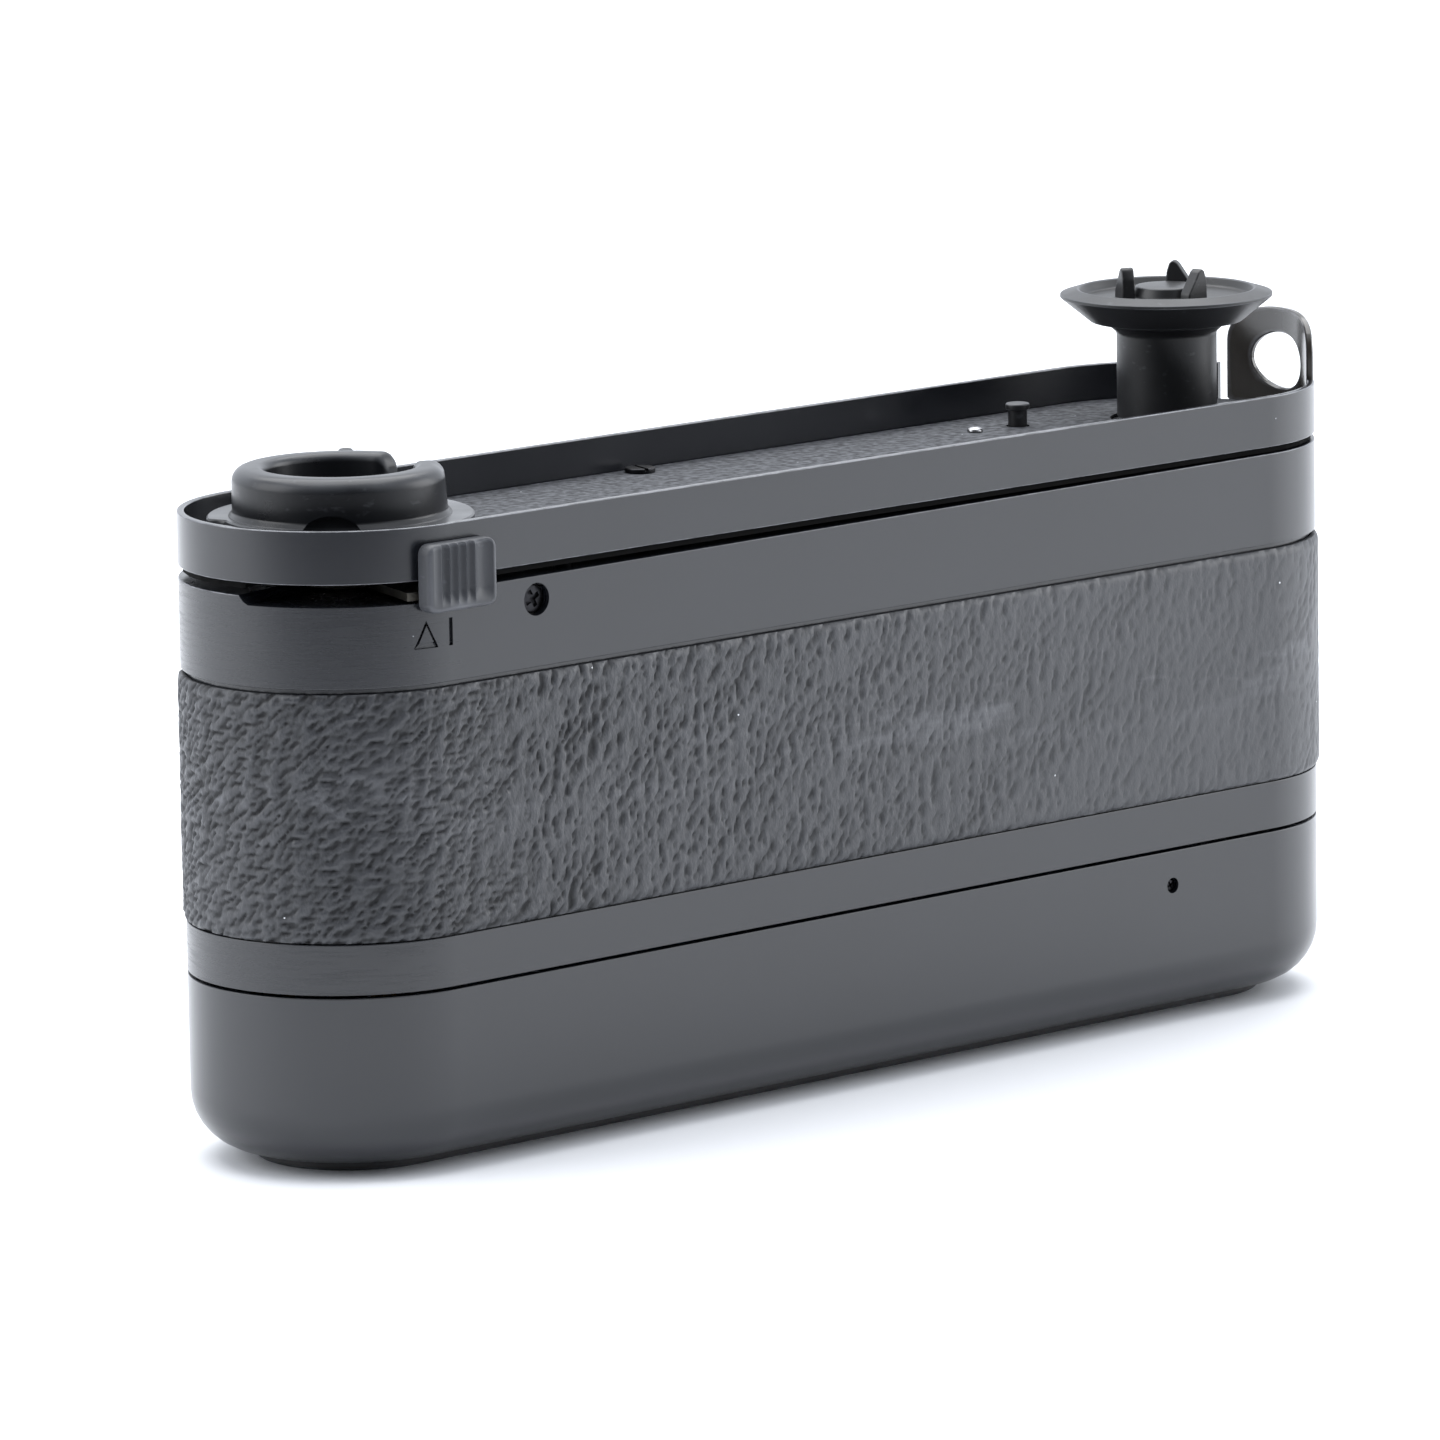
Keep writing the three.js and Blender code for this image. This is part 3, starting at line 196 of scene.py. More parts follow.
def band_faces(low, high, count):
    """The quads between two rings of count points, which start at low and at high."""
    steps = [(k, (k + 1) % count) for k in range(count)]
    return [(low + k, low + after, high + after, high + k) for k, after in steps]


def sweep(name, path, outline, x=0.0, y=0.0, closed=False):
    """Carries a path of (radius, height, edge) round an outline.

    A radius or a height may be an array with one value for each point of the outline.
    """
    count = len(outline)
    rings = []
    for radius, height, _ in path:
        across = x + outline[:, 0] + radius * outline[:, 1]
        along = y + radius * outline[:, 2]
        rings.append(np.stack([across, along, np.broadcast_to(height, count)], axis=1))
    faces = []
    for i in range(len(path) if closed else len(path) - 1):
        faces += band_faces(i * count, (i + 1) % len(path) * count, count)
    if not closed:
        for i in (0, len(path) - 1):
            if np.max(path[i][0]) > 0:
                faces.append(tuple(range(i * count, (i + 1) * count)))
    edge = np.concatenate([np.broadcast_to(float(e), count) for _, _, e in path])
    return mesh_object(name, np.concatenate(rings), faces, edge.astype(np.float32))


def turned(name, corners, x=0.0, y=0.0, steps=64, round_steps=4):
    """A lathe-turned solid about the vertical through x, y."""
    return sweep(name, rounded(corners, round_steps), circle_outline(steps), x, y)


def prism(points, near, far, across=False):
    """A prism on an outline in X and Y, or, if across, in X and Z and running along Y."""
    count = len(points)
    vertices = []
    for depth in (near, far):
        for a, b in points:
            vertices.append((a, depth, b) if across else (a, b, depth))
    faces = [tuple(range(count)), tuple(range(count, 2 * count))]
    faces += band_faces(0, count, count)
    return mesh_object("tool", vertices, faces)


def circle_points(radius, x=0.0, y=0.0, steps=40):
    turns = [2 * math.pi * i / steps for i in range(steps)]
    return [(x + radius * math.cos(a), y + radius * math.sin(a)) for a in turns]


def sector_points(radius, start, stop, x=0.0, y=0.0, step=3):
    """A pie slice from one angle to another, in degrees."""
    count = max(2, math.ceil((stop - start) / step))
    turns = [math.radians(start + (stop - start) * i / count) for i in range(count + 1)]
    return [(x, y)] + [(x + radius * math.cos(a), y + radius * math.sin(a)) for a in turns]


def rectangle_points(x0, y0, x1, y1):
    return [(x0, y0), (x1, y0), (x1, y1), (x0, y1)]


def rod(radius, near, far, x=0.0, y=0.0, steps=40, across=False):
    return prism(circle_points(radius, x, y, steps), near, far, across)


def carve(body, tool, operation="DIFFERENCE"):
    """Applies one boolean with a tool that is then thrown away."""
    modifier = body.modifiers.new("carve", "BOOLEAN")
    modifier.object = tool
    modifier.operation = operation
    modifier.solver = "EXACT"
    bpy.context.view_layer.update()
    depsgraph = bpy.context.evaluated_depsgraph_get()
    made = bpy.data.meshes.new_from_object(body.evaluated_get(depsgraph))
    body.modifiers.clear()
    body.data = made
    bpy.data.objects.remove(tool)
    return body


def cut(body, *tools):
    for tool in tools:
        carve(body, tool)
    return body


def join(body, *others):
    for other in others:
        carve(body, other, "UNION")
    return body


def finish_piece(made, body, nodes, material, bevel=0.0, sharp=30):
    """Scales a piece to metres, gives it its shading, finish and body, and hides the CAD nodes that it
    stands in for.
    """
    made.data.transform(Matrix.Scale(MM, 4))
    made.data.polygons.foreach_set("use_smooth", [True] * len(made.data.polygons))
    made.data.set_sharp_from_angle(angle=math.radians(sharp))
    if bevel:
        rounding = made.modifiers.new("bevel", "BEVEL")
        rounding.width = bevel * MM
        rounding.segments = 2
        rounding.limit_method = "ANGLE"
        rounding.angle_limit = math.radians(40)
    normals = made.modifiers.new("normals", "WEIGHTED_NORMAL")
    normals.keep_sharp = True
    made.data.materials.clear()
    made.data.materials.append(material)
    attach(made, body)
    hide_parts(*nodes)
    return made


# ---- Materials ----
class Finish:
    """A node material round one Principled shader, its patterns placed in object space."""

    def __init__(self, name, color, roughness, metallic=0.0, specular=0.5):
        self.material = bpy.data.materials.new(name)
        self.material.use_nodes = True
        self.tree = self.material.node_tree
        self.shader = self.tree.nodes["Principled BSDF"]
        self.color = (*color, 1.0)
        self.shader.inputs["Base Color"].default_value = self.color
        self.shader.inputs["Roughness"].default_value = roughness
        self.shader.inputs["Metallic"].default_value = metallic
        self.shader.inputs["Specular IOR Level"].default_value = specular
        self.position = self.node("ShaderNodeTexCoord").outputs["Object"]

    def node(self, kind, inputs=(), **settings):
        made = self.tree.nodes.new(kind)
        for key, value in settings.items():
            setattr(made, key, value)
        for key, value in dict(inputs).items():
            if isinstance(value, bpy.types.NodeSocket):
                self.tree.links.new(value, made.inputs[key])
            else:
                made.inputs[key].default_value = value
        return made

    def stretched(self, stretch, turn=0.0):
        """The position scaled on each axis and turned about Y, for streaks and brush marks."""
        inputs = {"Vector": self.position, "Scale": stretch, "Rotation": (0, turn, 0)}
        return self.node("ShaderNodeMapping", inputs).outputs[0]

    def noise(self, size, detail=2.0, stretch=(1, 1, 1), turn=0.0):
        """Noise whose features are about size millimetres across."""
        place = self.position if stretch == (1, 1, 1) else self.stretched(stretch, turn)
        inputs = {"Vector": place, "Scale": 1 / (size * MM), "Detail": detail}
        return self.node("ShaderNodeTexNoise", inputs).outputs[0]

    def cells(self, size, feature="F1", stretch=(1, 1, 1)):
        place = self.position if stretch == (1, 1, 1) else self.stretched(stretch)
        inputs = {"Vector": place, "Scale": 1 / (size * MM)}
        return self.node("ShaderNodeTexVoronoi", inputs, feature=feature)

    def axis(self, name):
        """One coordinate of the position, in metres."""
        return self.node("ShaderNodeSeparateXYZ", {0: self.position}).outputs[name]

    def attribute(self, name):
        return self.node("ShaderNodeAttribute", attribute_name=name).outputs["Fac"]

    def spread(self, value, low, high, to_low=0.0, to_high=1.0):
        inputs = {0: value, 1: low, 2: high, 3: to_low, 4: to_high}
        return self.node("ShaderNodeMapRange", inputs).outputs[0]

    def math(self, operation, first, second=0.0):
        return self.node("ShaderNodeMath", {0: first, 1: second}, operation=operation).outputs[0]

    def mix(self, factor, first, second):
        inputs = {0: factor, 6: first, 7: second}
        return self.node("ShaderNodeMix", inputs, data_type="RGBA").outputs[2]

    def bump(self, height, depth, below=None, strength=1.0):
        """A bump whose height runs over depth millimetres."""
        inputs = {"Height": height, "Distance": depth * MM, "Strength": strength}
        if below is not None:
            inputs["Normal"] = below
        return self.node("ShaderNodeBump", inputs).outputs[0]

    def use(self, socket, value):
        self.tree.links.new(value, self.shader.inputs[socket])

    def wired(self, color, roughness, normal):
        """Gives the shader its three patterns and returns the material."""
        self.use("Base Color", color)
        self.use("Roughness", roughness)
        self.use("Normal", normal)
        return self.material

    def specks(self, size, share, radius=0.16):
        """Small scattered dots, 1 inside a dot: one cell in many holds one."""
        dots = self.cells(size)
        chosen = self.node("ShaderNodeSeparateColor", {0: dots.outputs["Color"]}).outputs[0]
        near = self.math("LESS_THAN", dots.outputs["Distance"], radius)
        return self.math("MULTIPLY", near, self.math("LESS_THAN", chosen, share))


DUST = (0.42, 0.44, 0.47, 1)


def paint_finish(name, color, roughness, specular=0.66, rubbed=0.0):
    """Satin enamel: faint orange peel, cloudy gloss, dust, and pale grey along outward edges, partly
    worn metal and partly a painted highlight.
    """
    made = Finish(name, color, roughness, specular=specular)
    cloud = made.noise(14, 3)
    base = made.mix(made.spread(cloud, 0.3, 0.7), made.color, tuple(c * 1.25 for c in color) + (1,))
    patchy = made.spread(made.noise(1.6, 3), 0.35, 0.62, 0.35, 1.0)
    # Pale grey along the edge attribute: partly real wear, partly a painted highlight for the bright
    # lines on the tray rim's top and the tab's edges.
    worn = made.math("MULTIPLY", made.attribute("edge"), patchy)
    base = made.mix(worn, base, (0.20, 0.205, 0.225, 1))
    base = made.mix(made.specks(3.4, 0.16, 0.02), base, DUST)
    gloss = made.spread(cloud, 0.25, 0.75, roughness - 0.03, roughness + 0.04)
    brushed = made.noise(0.3, 3, (0.07, 0.07, 1), math.radians(18))
    depth = 0.0004
    if rubbed:
        left_end = made.spread(made.axis("X"), -0.046, -0.058)
        lines = made.math("MULTIPLY", left_end, made.spread(brushed, 0.45, 0.7))
        gloss = made.math("ADD", gloss, made.math("MULTIPLY", lines, rubbed))
        depth = 0.0022
    peel = made.bump(made.noise(0.9, 2), 0.0008)
    return made.wired(base, gloss, made.bump(brushed, depth, peel))


def leather_finish():
    """Fine-grained covering, dull and painted with shade in its pits and on its tucked edges, rubbed
    and dusty along its middle.
    """
    made = Finish("leather_grain", (0.030, 0.032, 0.037), 0.5, specular=0.6)
    grain = made.attribute("grain")
    # Painted shade: the colour darkens to near black where grain is low, in the pits and on the tucked
    # top and bottom ledges.
    base = made.mix(made.spread(grain, 0.25, 0.95), (0.005, 0.0055, 0.007, 1), made.color)
    patch = made.spread(made.noise(9, 3, (0.45, 1, 1)), 0.42, 0.66)
    base = made.mix(made.math("MULTIPLY", patch, 0.30), base, (0.055, 0.057, 0.063, 1))
    off_middle = made.math("ABSOLUTE", made.math("SUBTRACT", made.axis("Z"), 0.0355))
    belt = made.spread(off_middle, 0.0055, 0.0005)
    streak = made.spread(made.noise(2.4, 4, (0.16, 1, 1), math.radians(-7)), 0.50, 0.68)
    dusty = made.math("MULTIPLY", made.math("MULTIPLY", belt, streak), grain)
    base = made.mix(made.math("MULTIPLY", dusty, 0.40), base, (0.16, 0.165, 0.18, 1))
    base = made.mix(made.specks(2.6, 0.07, 0.035), base, (0.7, 0.72, 0.75, 1))
    roughness = made.spread(grain, 0.2, 1.0, 0.75, 0.42)
    fade = made.spread(made.axis("X"), -0.042, 0.043, 1.0, 1 - FLATTENED)
    fine = made.noise(0.55, 4, (1, 1, 0.6), math.radians(24))
    wrinkles = made.bump(fine, 0.15, strength=fade)
    return made.wired(base, roughness, made.bump(made.noise(0.2, 3), 0.018, wrinkles))


def moulding_finish(name, color, roughness, wear=(0.10, 0.105, 0.115), specular=0.5, pale_below=None):
    """Matte moulded plastic, cloudy, with rubbed edges and a little dust, and paler low down."""
    made = Finish(name, color, roughness, specular=specular)
    cloud = made.noise(5, 3)
    base = made.mix(made.spread(cloud, 0.3, 0.7), made.color, tuple(c * 1.35 for c in color) + (1,))
    rubbed = made.math("MULTIPLY", made.attribute("edge"), made.spread(cloud, 0.3, 0.65, 0.3, 1.0))
    base = made.mix(rubbed, base, (*wear, 1))
    scuff = made.spread(made.noise(0.7, 4, (0.5, 0.5, 1)), 0.64, 0.74)
    base = made.mix(made.math("MULTIPLY", scuff, 0.25), base, (*wear, 1))
    if pale_below is not None:
        low = made.spread(made.axis("Z"), (pale_below + 0.12) * MM, (pale_below + 0.02) * MM)
        base = made.mix(low, base, (0.05, 0.052, 0.056, 1))
    base = made.mix(made.specks(2.6, 0.12, 0.03), base, DUST)
    gloss = made.spread(cloud, 0.25, 0.75, roughness - 0.05, roughness + 0.07)
    return made.wired(base, gloss, made.bump(made.noise(0.22, 3), 0.004))


def flock_finish():
    """Black crackle sheet on the tray floor, with pale worn tips."""
    made = Finish("tray_sheet", (0.045, 0.047, 0.052), 0.75, specular=0.4)
    lumps = made.noise(0.8, 4)
    base = made.mix(made.spread(lumps, 0.35, 0.65), (0.016, 0.017, 0.021, 1), (0.060, 0.064, 0.073, 1))
    base = made.mix(made.specks(1.8, 0.12, 0.06), base, DUST)
    return made.wired(base, made.spread(lumps, 0.3, 0.7, 0.85, 0.6), made.bump(lumps, 0.16))


def metal_finish(name, color, roughness, stretch, size=0.5, tarnish=0.5):
    """Turned, rolled or plated metal: fine marks along one way, a few dull clouds."""
    made = Finish(name, color, roughness, metallic=1.0)
    marks = made.noise(size, 3, stretch)
    cloud = made.noise(4, 3)
    dull = tuple(c * tarnish for c in color) + (1,)
    base = made.mix(made.spread(cloud, 0.35, 0.75), made.color, dull)
    base = made.mix(made.spread(marks, 0.45, 0.75, 0.0, 0.35), base, dull)
    gloss = made.spread(marks, 0.3, 0.7, roughness - 0.08, roughness + 0.12)
    return made.wired(base, gloss, made.bump(marks, 0.004))


def cell_finish():
    """A dry cell's sleeve: a pale band, a dark band and a bare metal end."""
    made = Finish("cell_sleeve", (0.03, 0.10, 0.16), 0.3, specular=0.5)
    along = made.math("PINGPONG", made.math("ABSOLUTE", made.axis("X")), 0.0295)
    band = made.math("LESS_THAN", along, 0.012)
    base = made.mix(band, made.color, (0.35, 0.36, 0.38, 1))
    wear = made.spread(made.noise(3, 3), 0.5, 0.75, 0.0, 0.3)
    base = made.mix(wear, base, (0.2, 0.2, 0.21, 1))
    gloss = made.spread(made.noise(6, 2), 0.3, 0.7, 0.22, 0.4)
    return made.wired(base, gloss, made.bump(made.noise(2.5, 2), 0.02))


def board_finish():
    """Coated circuit board with paler tracks under the lacquer."""
    made = Finish("circuit_coating", (0.012, 0.06, 0.03), 0.35)
    grid = made.cells(2.4, "DISTANCE_TO_EDGE", (1, 0.6, 1)).outputs["Distance"]
    track = made.spread(grid, 0.03, 0.07, 1.0, 0.0)
    base = made.mix(made.math("MULTIPLY", track, 0.6), made.color, (0.05, 0.18, 0.07, 1))
    return made.wired(base, made.spread(made.noise(2, 3), 0.3, 0.7, 0.25, 0.5), made.bump(track, 0.03))


def sleeve_finish(name, color):
    """The soft insulation of a lead."""
    made = Finish(name, color, 0.5)
    grime = made.spread(made.noise(1.5, 3), 0.4, 0.7)
    base = made.mix(grime, made.color, tuple(c * 0.45 for c in color) + (1,))
    gloss = made.spread(grime, 0.0, 1.0, 0.42, 0.62)
    return made.wired(base, gloss, made.bump(made.noise(0.4, 2), 0.01))


ENAMEL = (0.009, 0.010, 0.013)
PAINT = paint_finish("black_enamel", ENAMEL, 0.23)
PAINT_RUBBED = paint_finish("black_enamel_rubbed", ENAMEL, 0.23, rubbed=0.10)
PAINT_CASE = paint_finish("black_enamel_case", ENAMEL, 0.22)
PAINT_TAB = paint_finish("black_enamel_tab", (0.034, 0.030, 0.026), 0.17, 0.7)
LEATHER = leather_finish()
MOULDING = moulding_finish("black_moulding_matte", (0.007, 0.0072, 0.008), 0.40)
RING_MOULDING = moulding_finish(
    "lock_ring_moulding", (0.006, 0.0065, 0.008), 0.30, specular=0.38, pale_below=FLANGE_TOP
)
DARK_MOULDING = moulding_finish("dark_moulding", (0.012, 0.012, 0.013), 0.5)
# Painted shade: the spacer in the gap under the tray is made near black, so the gap reads as a shadow
# line.
SPACER_PAINTED_SHADE = moulding_finish("spacer_painted_shade", (0.002, 0.002, 0.002), 0.9, (0.004, 0.004, 0.004), 0.1)
KNOB = moulding_finish("grey_moulding", (0.031, 0.033, 0.038), 0.48, (0.13, 0.135, 0.15))
FLOCK = flock_finish()
STEEL = metal_finish("ground_steel", (0.42, 0.42, 0.43), 0.32, (1, 1, 0.12))
DARK_STEEL = metal_finish("blackened_steel", (0.035, 0.035, 0.038), 0.34, (1, 1, 0.3))
LEVER_STEEL = metal_finish("worn_steel", (0.16, 0.15, 0.13), 0.45, (1, 1, 0.3))
MOTOR_CAN = metal_finish("plated_can", (0.5, 0.5, 0.5), 0.28, (1, 1, 0.05), 0.8, 0.75)
BRASS = metal_finish("machined_brass", (0.62, 0.44, 0.18), 0.3, (1, 1, 0.12))
CELL = cell_finish()
BOARD = board_finish()
RED_SLEEVE = sleeve_finish("red_sleeve", (0.25, 0.02, 0.015))
BLACK_SLEEVE = sleeve_finish("black_sleeve", (0.02, 0.02, 0.022))


# ---- Battery case and foot ----
def case_shell():
    inner = END_RADIUS - CASE_WALL
    floor = CASE_LOW.z + CASE_FLOOR
    corners = [
        (0.02, CASE_LOW.z, 0),
        (END_RADIUS, CASE_LOW.z, CASE_FILLET),
        (END_RADIUS, CASE_HIGH.z - SEAM, 0.08),
        (inner, CASE_HIGH.z - SEAM, 0.08),
        (inner, floor, CASE_FILLET - CASE_WALL),
        (0.02, floor, 0),
    ]
    path = [(radius, height, 0.0) for radius, height, _ in rounded(corners, 8)]
    shell = sweep("case_shell", path, slot_outline())
    grub_x, _, grub_z = centre(GRUB_LOW, GRUB_HIGH)
    deep = CASE_HIGH.z
    cut(
        shell,
        rod(2.0, -1, deep, CASE_LOCK_X, 0),
        rod(4.15, -1, deep),
        rod(0.78, -END_RADIUS - 1, -END_RADIUS + 2, grub_x, grub_z, 28, across=True),
    )
    finish_piece(shell, "battery_case", ["battery_case"], PAINT_CASE)


def foot():
    radius = FOOT_HIGH.y
    bottom, top = FOOT_LOW.z, FOOT_HIGH.z
    path = rounded([(0.02, bottom, 0), (radius, bottom, 0.3), (radius, top, 0), (0.02, top, 0)])
    plate = sweep("rubber_foot", path, slot_outline(40))
    cut(plate, rod(4.3, -1, top + 1, CASE_LOCK_X, 0, 56), rod(4.3, -1, top + 1, 0, 0, 56))
    finish_piece(plate, "battery_case", ["foot_plate"], MOULDING)


def case_lock():
    x = CASE_LOCK_X
    head_top = FOOT_HIGH.z + 0.05
    corners = [
        (0, CASE_LOCK_LOW.z, 0),
        (4.0, CASE_LOCK_LOW.z, 0.2),
        (4.0, head_top, 0.1),
        (1.6, head_top, 0),
        (1.6, CASE_LOCK_HIGH.z, 0.3),
        (0, CASE_LOCK_HIGH.z, 0),
    ]
    screw = turned("coin_screw", corners, x, 0, 72)
    cut(screw, prism(rectangle_points(x - 6, -0.6, x + 6, 0.6), -1, 0.6))
    finish_piece(screw, "case_lock", ["case_lock_screw"], STEEL, bevel=0.05)


def tripod_socket():
    low, high = BUSH_LOW.z, BUSH_HIGH.z
    corners = [(0, high - 1, 0), (3.1, high - 1, 0), (3.1, low, 0.35), (4.0, low, 0.2)]
    corners += [(4.0, high, 0.1), (0, high, 0)]
    bush = turned("socket_bush", corners, 0, 0, 72)
    finish_piece(bush, "battery_case", ["tripod_bush"], STEEL)


# ---- Housing and its leather ----
def recess_tool():
    """The space that the lever sweeps: its floor ramps up at the end away from the knob."""
    top = HOUSING_HIGH.z + 1
    outer = END_RADIUS + 1
    angles = np.radians(np.arange(RECESS_FROM, RECESS_TO + 1, 2.0))
    vertices = []
    for angle in angles:
        turn = math.degrees(angle)
        ramp = (turn - RECESS_FROM) / (RECESS_FLAT_FROM - RECESS_FROM)
        floor = HOUSING_HIGH.z + 0.02 - RECESS_DEEP * min(1.0, max(0.0, ramp))
        for radius, height in ((4, floor), (outer, floor), (outer, top), (4, top)):
            place = (LOCK_X + radius * math.cos(angle), radius * math.sin(angle), height)
            vertices.append(place)
    faces = [(0, 1, 2, 3), tuple(len(vertices) - 4 + k for k in range(4))]
    for i in range(len(angles) - 1):
        faces += band_faces(4 * i, 4 * i + 4, 4)
    return mesh_object("tool", vertices, faces)


def slot_points(radius):
    """The slot shape of a given end radius as an outline in X and Y."""
    return [(x + radius * across, radius * along) for x, across, along in slot_outline()]


def engraving(points):
    """A cutter that sinks an outline in X and Z to an even depth below the curved front."""
    tool = prism(points, -END_RADIUS - 1, 0, across=True)
    return cut(tool, prism(slot_points(END_RADIUS - ENGRAVED), LEATHER_HIGH.z, HOUSING_HIGH.z + 1))


def housing_shell():
    low, high = HOUSING_LOW.z, HOUSING_HIGH.z
    seat = END_RADIUS - LEATHER_SEAT
    inner = seat - HOUSING_WALL
    band_low = LEATHER_LOW.z - 0.15
    band_high = LEATHER_HIGH.z + 0.15
    roof = high - HOUSING_ROOF
    corners = [
        (0.02, roof, 0),
        (inner, roof, 0),
        (inner, low + SEAM, 0.1),
        (END_RADIUS, low + SEAM, 0.08),
        (END_RADIUS, band_low, 0.08),
        (seat, band_low, 0),
        (seat, band_high, 0),
        (END_RADIUS, band_high, 0.1),
        (END_RADIUS, high, 0.12),
        (0.02, high, 0),
    ]
    outline = slot_outline()
    fall = TOP_FALL * (0.5 - outline[:, 0] / (2 * ARC_X))
    path = []
    for radius, height, edge in rounded(corners):
        near_top = height > high - 0.5
        path.append((radius, height - fall * near_top, edge if near_top else 0.0))
    shell = sweep("housing_shell", path, outline)
    screw_x, _, screw_z = centre(SIDE_SCREW_LOW, SIDE_SCREW_HIGH)
    cut(
        shell,
        recess_tool(),
        rod(6.3, high - 1, high + 1, LOCK_X, 0, 48),
        rod(4.5, roof - 1, high + 1, LOCK_X, 0),
        rod(5.0, roof - 1, high + 1, DRIVE_X, 0),
        rod(2.0, high - 1.5, high + 1, *pin_centre()),
        rod(1.55, -END_RADIUS - 1, -END_RADIUS + 1.15, screw_x, screw_z, 40, across=True),
        *[engraving(points) for points in mark_outlines()],
    )
    finish_piece(shell, "winder", ["housing"], PAINT_RUBBED)


def pin_centre():
    return centre(TRIP_LOW, TRIP_HIGH)[:2]


def mark_outlines():
    """The engraved index marks under the knob: an open triangle that points up at it, and a bar."""
    middle, half = HOUSING_HIGH.z - MARKS_BELOW_TOP, MARK_HALF
    bar = rectangle_points(BAR_X, middle - half, BAR_X + ENGRAVED_LINE, middle + half)
    inner = half - 1.2 * ENGRAVED_LINE
    corners = [
        [(TRIANGLE_X - reach, middle - reach), (TRIANGLE_X + reach, middle - reach)]
        + [(TRIANGLE_X, middle + reach)]
        for reach in (half, inner)
    ]
    sides = []
    for k in range(3):
        after = (k + 1) % 3
        sides.append([corners[0][k], corners[0][after], corners[1][after], corners[1][k]])
    return [bar, *sides]


class Waves:
    """Smooth random noise over the unrolled band, periodic along it, stretched along one way."""

    def __init__(self, random, length, across, along, lean, count=60):
        lean = math.radians(lean)
        quick = random.uniform(0.55, 1.35, count) * random.choice([-1, 1], count) * 2 * math.pi / across
        slow = random.uniform(-1, 1, count) * 2 * math.pi / along
        around = quick * math.cos(lean) + slow * math.sin(lean)
        self.around = np.round(around * length / (2 * math.pi)) * 2 * math.pi / length
        self.up = -quick * math.sin(lean) + slow * math.cos(lean)
        self.phase = random.uniform(0, 2 * math.pi, count)

    def at(self, u, v):
        """The noise at points u along and v up the band, with a spread of about 1."""
        total = np.zeros_like(u)
        for around, up, phase in zip(self.around, self.up, self.phase):
            total += np.sin(around * u + up * v + phase)
        return total * math.sqrt(2 / len(self.phase))


class Grain:
    """The relief of the leather: slanted pits, with scales at the left and flatter to the right."""

    def __init__(self, length):
        random = np.random.default_rng(11)
        self.pits = Waves(random, length, 1.15, 1.9, 24)
        self.small_pits = Waves(random, length, 0.8, 1.1, 14)
        self.scales = Waves(random, length, 0.95, 1.7, 72)
        self.small_scales = Waves(random, length, 0.75, 1.1, 55)
        self.drift = Waves(random, length, 9.0, 14.0, 40)
        self.lumps = Waves(random, length, 2.1, 2.8, 35)

    def height(self, u, v, x):
        """Height from 0 in a pit to 1 on the skin, at u along and v up the band, and at x."""
        drift = self.drift.at(u, v)
        lumps = self.lumps.at(u, v)
        slanted = 0.7 * self.pits.at(u + 0.35 * drift, v) + 0.7 * self.small_pits.at(u, v)
        pitted = 1 - 0.9 * np.clip((slanted - 0.45 + 0.25 * drift + 0.28 * lumps) / 1.7, 0, 1) ** 0.8
        lying = 0.7 * self.scales.at(u, v + 0.25 * drift) + 0.7 * self.small_scales.at(u, v)
        scaled = 1 - 0.9 * np.clip((lying + 0.05 + 0.25 * lumps) / 1.9, 0, 1) ** 0.8
        share = np.clip((-43 + 2 * drift - x) / 9, 0, 1)
        share = share * share * (3 - 2 * share)
        relief = pitted * (1 - share) + scaled * share - 0.12 * np.clip(1 + lumps, 0, 2)
        flatter = FLATTENED * np.clip((x + 42) / 85, 0, 1)
        return 1 - (1 - np.clip(relief, 0, 1)) * (1 - flatter)


def leather_sleeve():
    step, rise = 0.28, 0.3
    deep = 0.33
    outline = slot_outline(round(math.pi * END_RADIUS / step), round(2 * ARC_X / step))
    low, high = LEATHER_LOW.z, LEATHER_HIGH.z - LEATHER_DROP
    outer = LEATHER_HIGH.y
    inner = END_RADIUS - LEATHER_SEAT + 0.1
    samples = np.stack([outline[:, 0] + outer * outline[:, 1], outer * outline[:, 2]], axis=1)
    spans = np.hypot(*(np.roll(samples, -1, axis=0) - samples).T)
    around = np.concatenate([[0], np.cumsum(spans)[:-1]])
    leather = Grain(spans.sum())
    rows = round((high - low) / rise)
    path = [(inner, high, 0.0), (inner, low, 0.0)]
    # The inner ring gets grain 0, so the tucked top and bottom ledges take the painted shade of the
    # pits.
    grain = [np.zeros(len(outline)), np.zeros(len(outline))]
    for k in range(rows + 1):
        z = low + (high - low) * k / rows
        raised = leather.height(around, np.full(len(around), z - low), samples[:, 0])
        from_edge = min(z - low, high - z)
        tuck = 0.26 * (1 - min(1.0, from_edge / 0.7)) ** 2
        path.append((outer - tuck - deep * (1 - raised), z, 0.0))
        grain.append(raised)
    band = sweep_grained("leather_sleeve", path, outline, np.concatenate(grain))
    finish_piece(band, "winder", ["leather_band"], LEATHER, sharp=60)


def sweep_grained(name, path, outline, grain):
    """A closed sweep whose points keep their grain height for the material."""
    made = sweep(name, path, outline, closed=True)
    attribute = made.data.attributes.new("grain", "FLOAT", "POINT")
    attribute.data.foreach_set("value", grain.astype(np.float32))
    return made


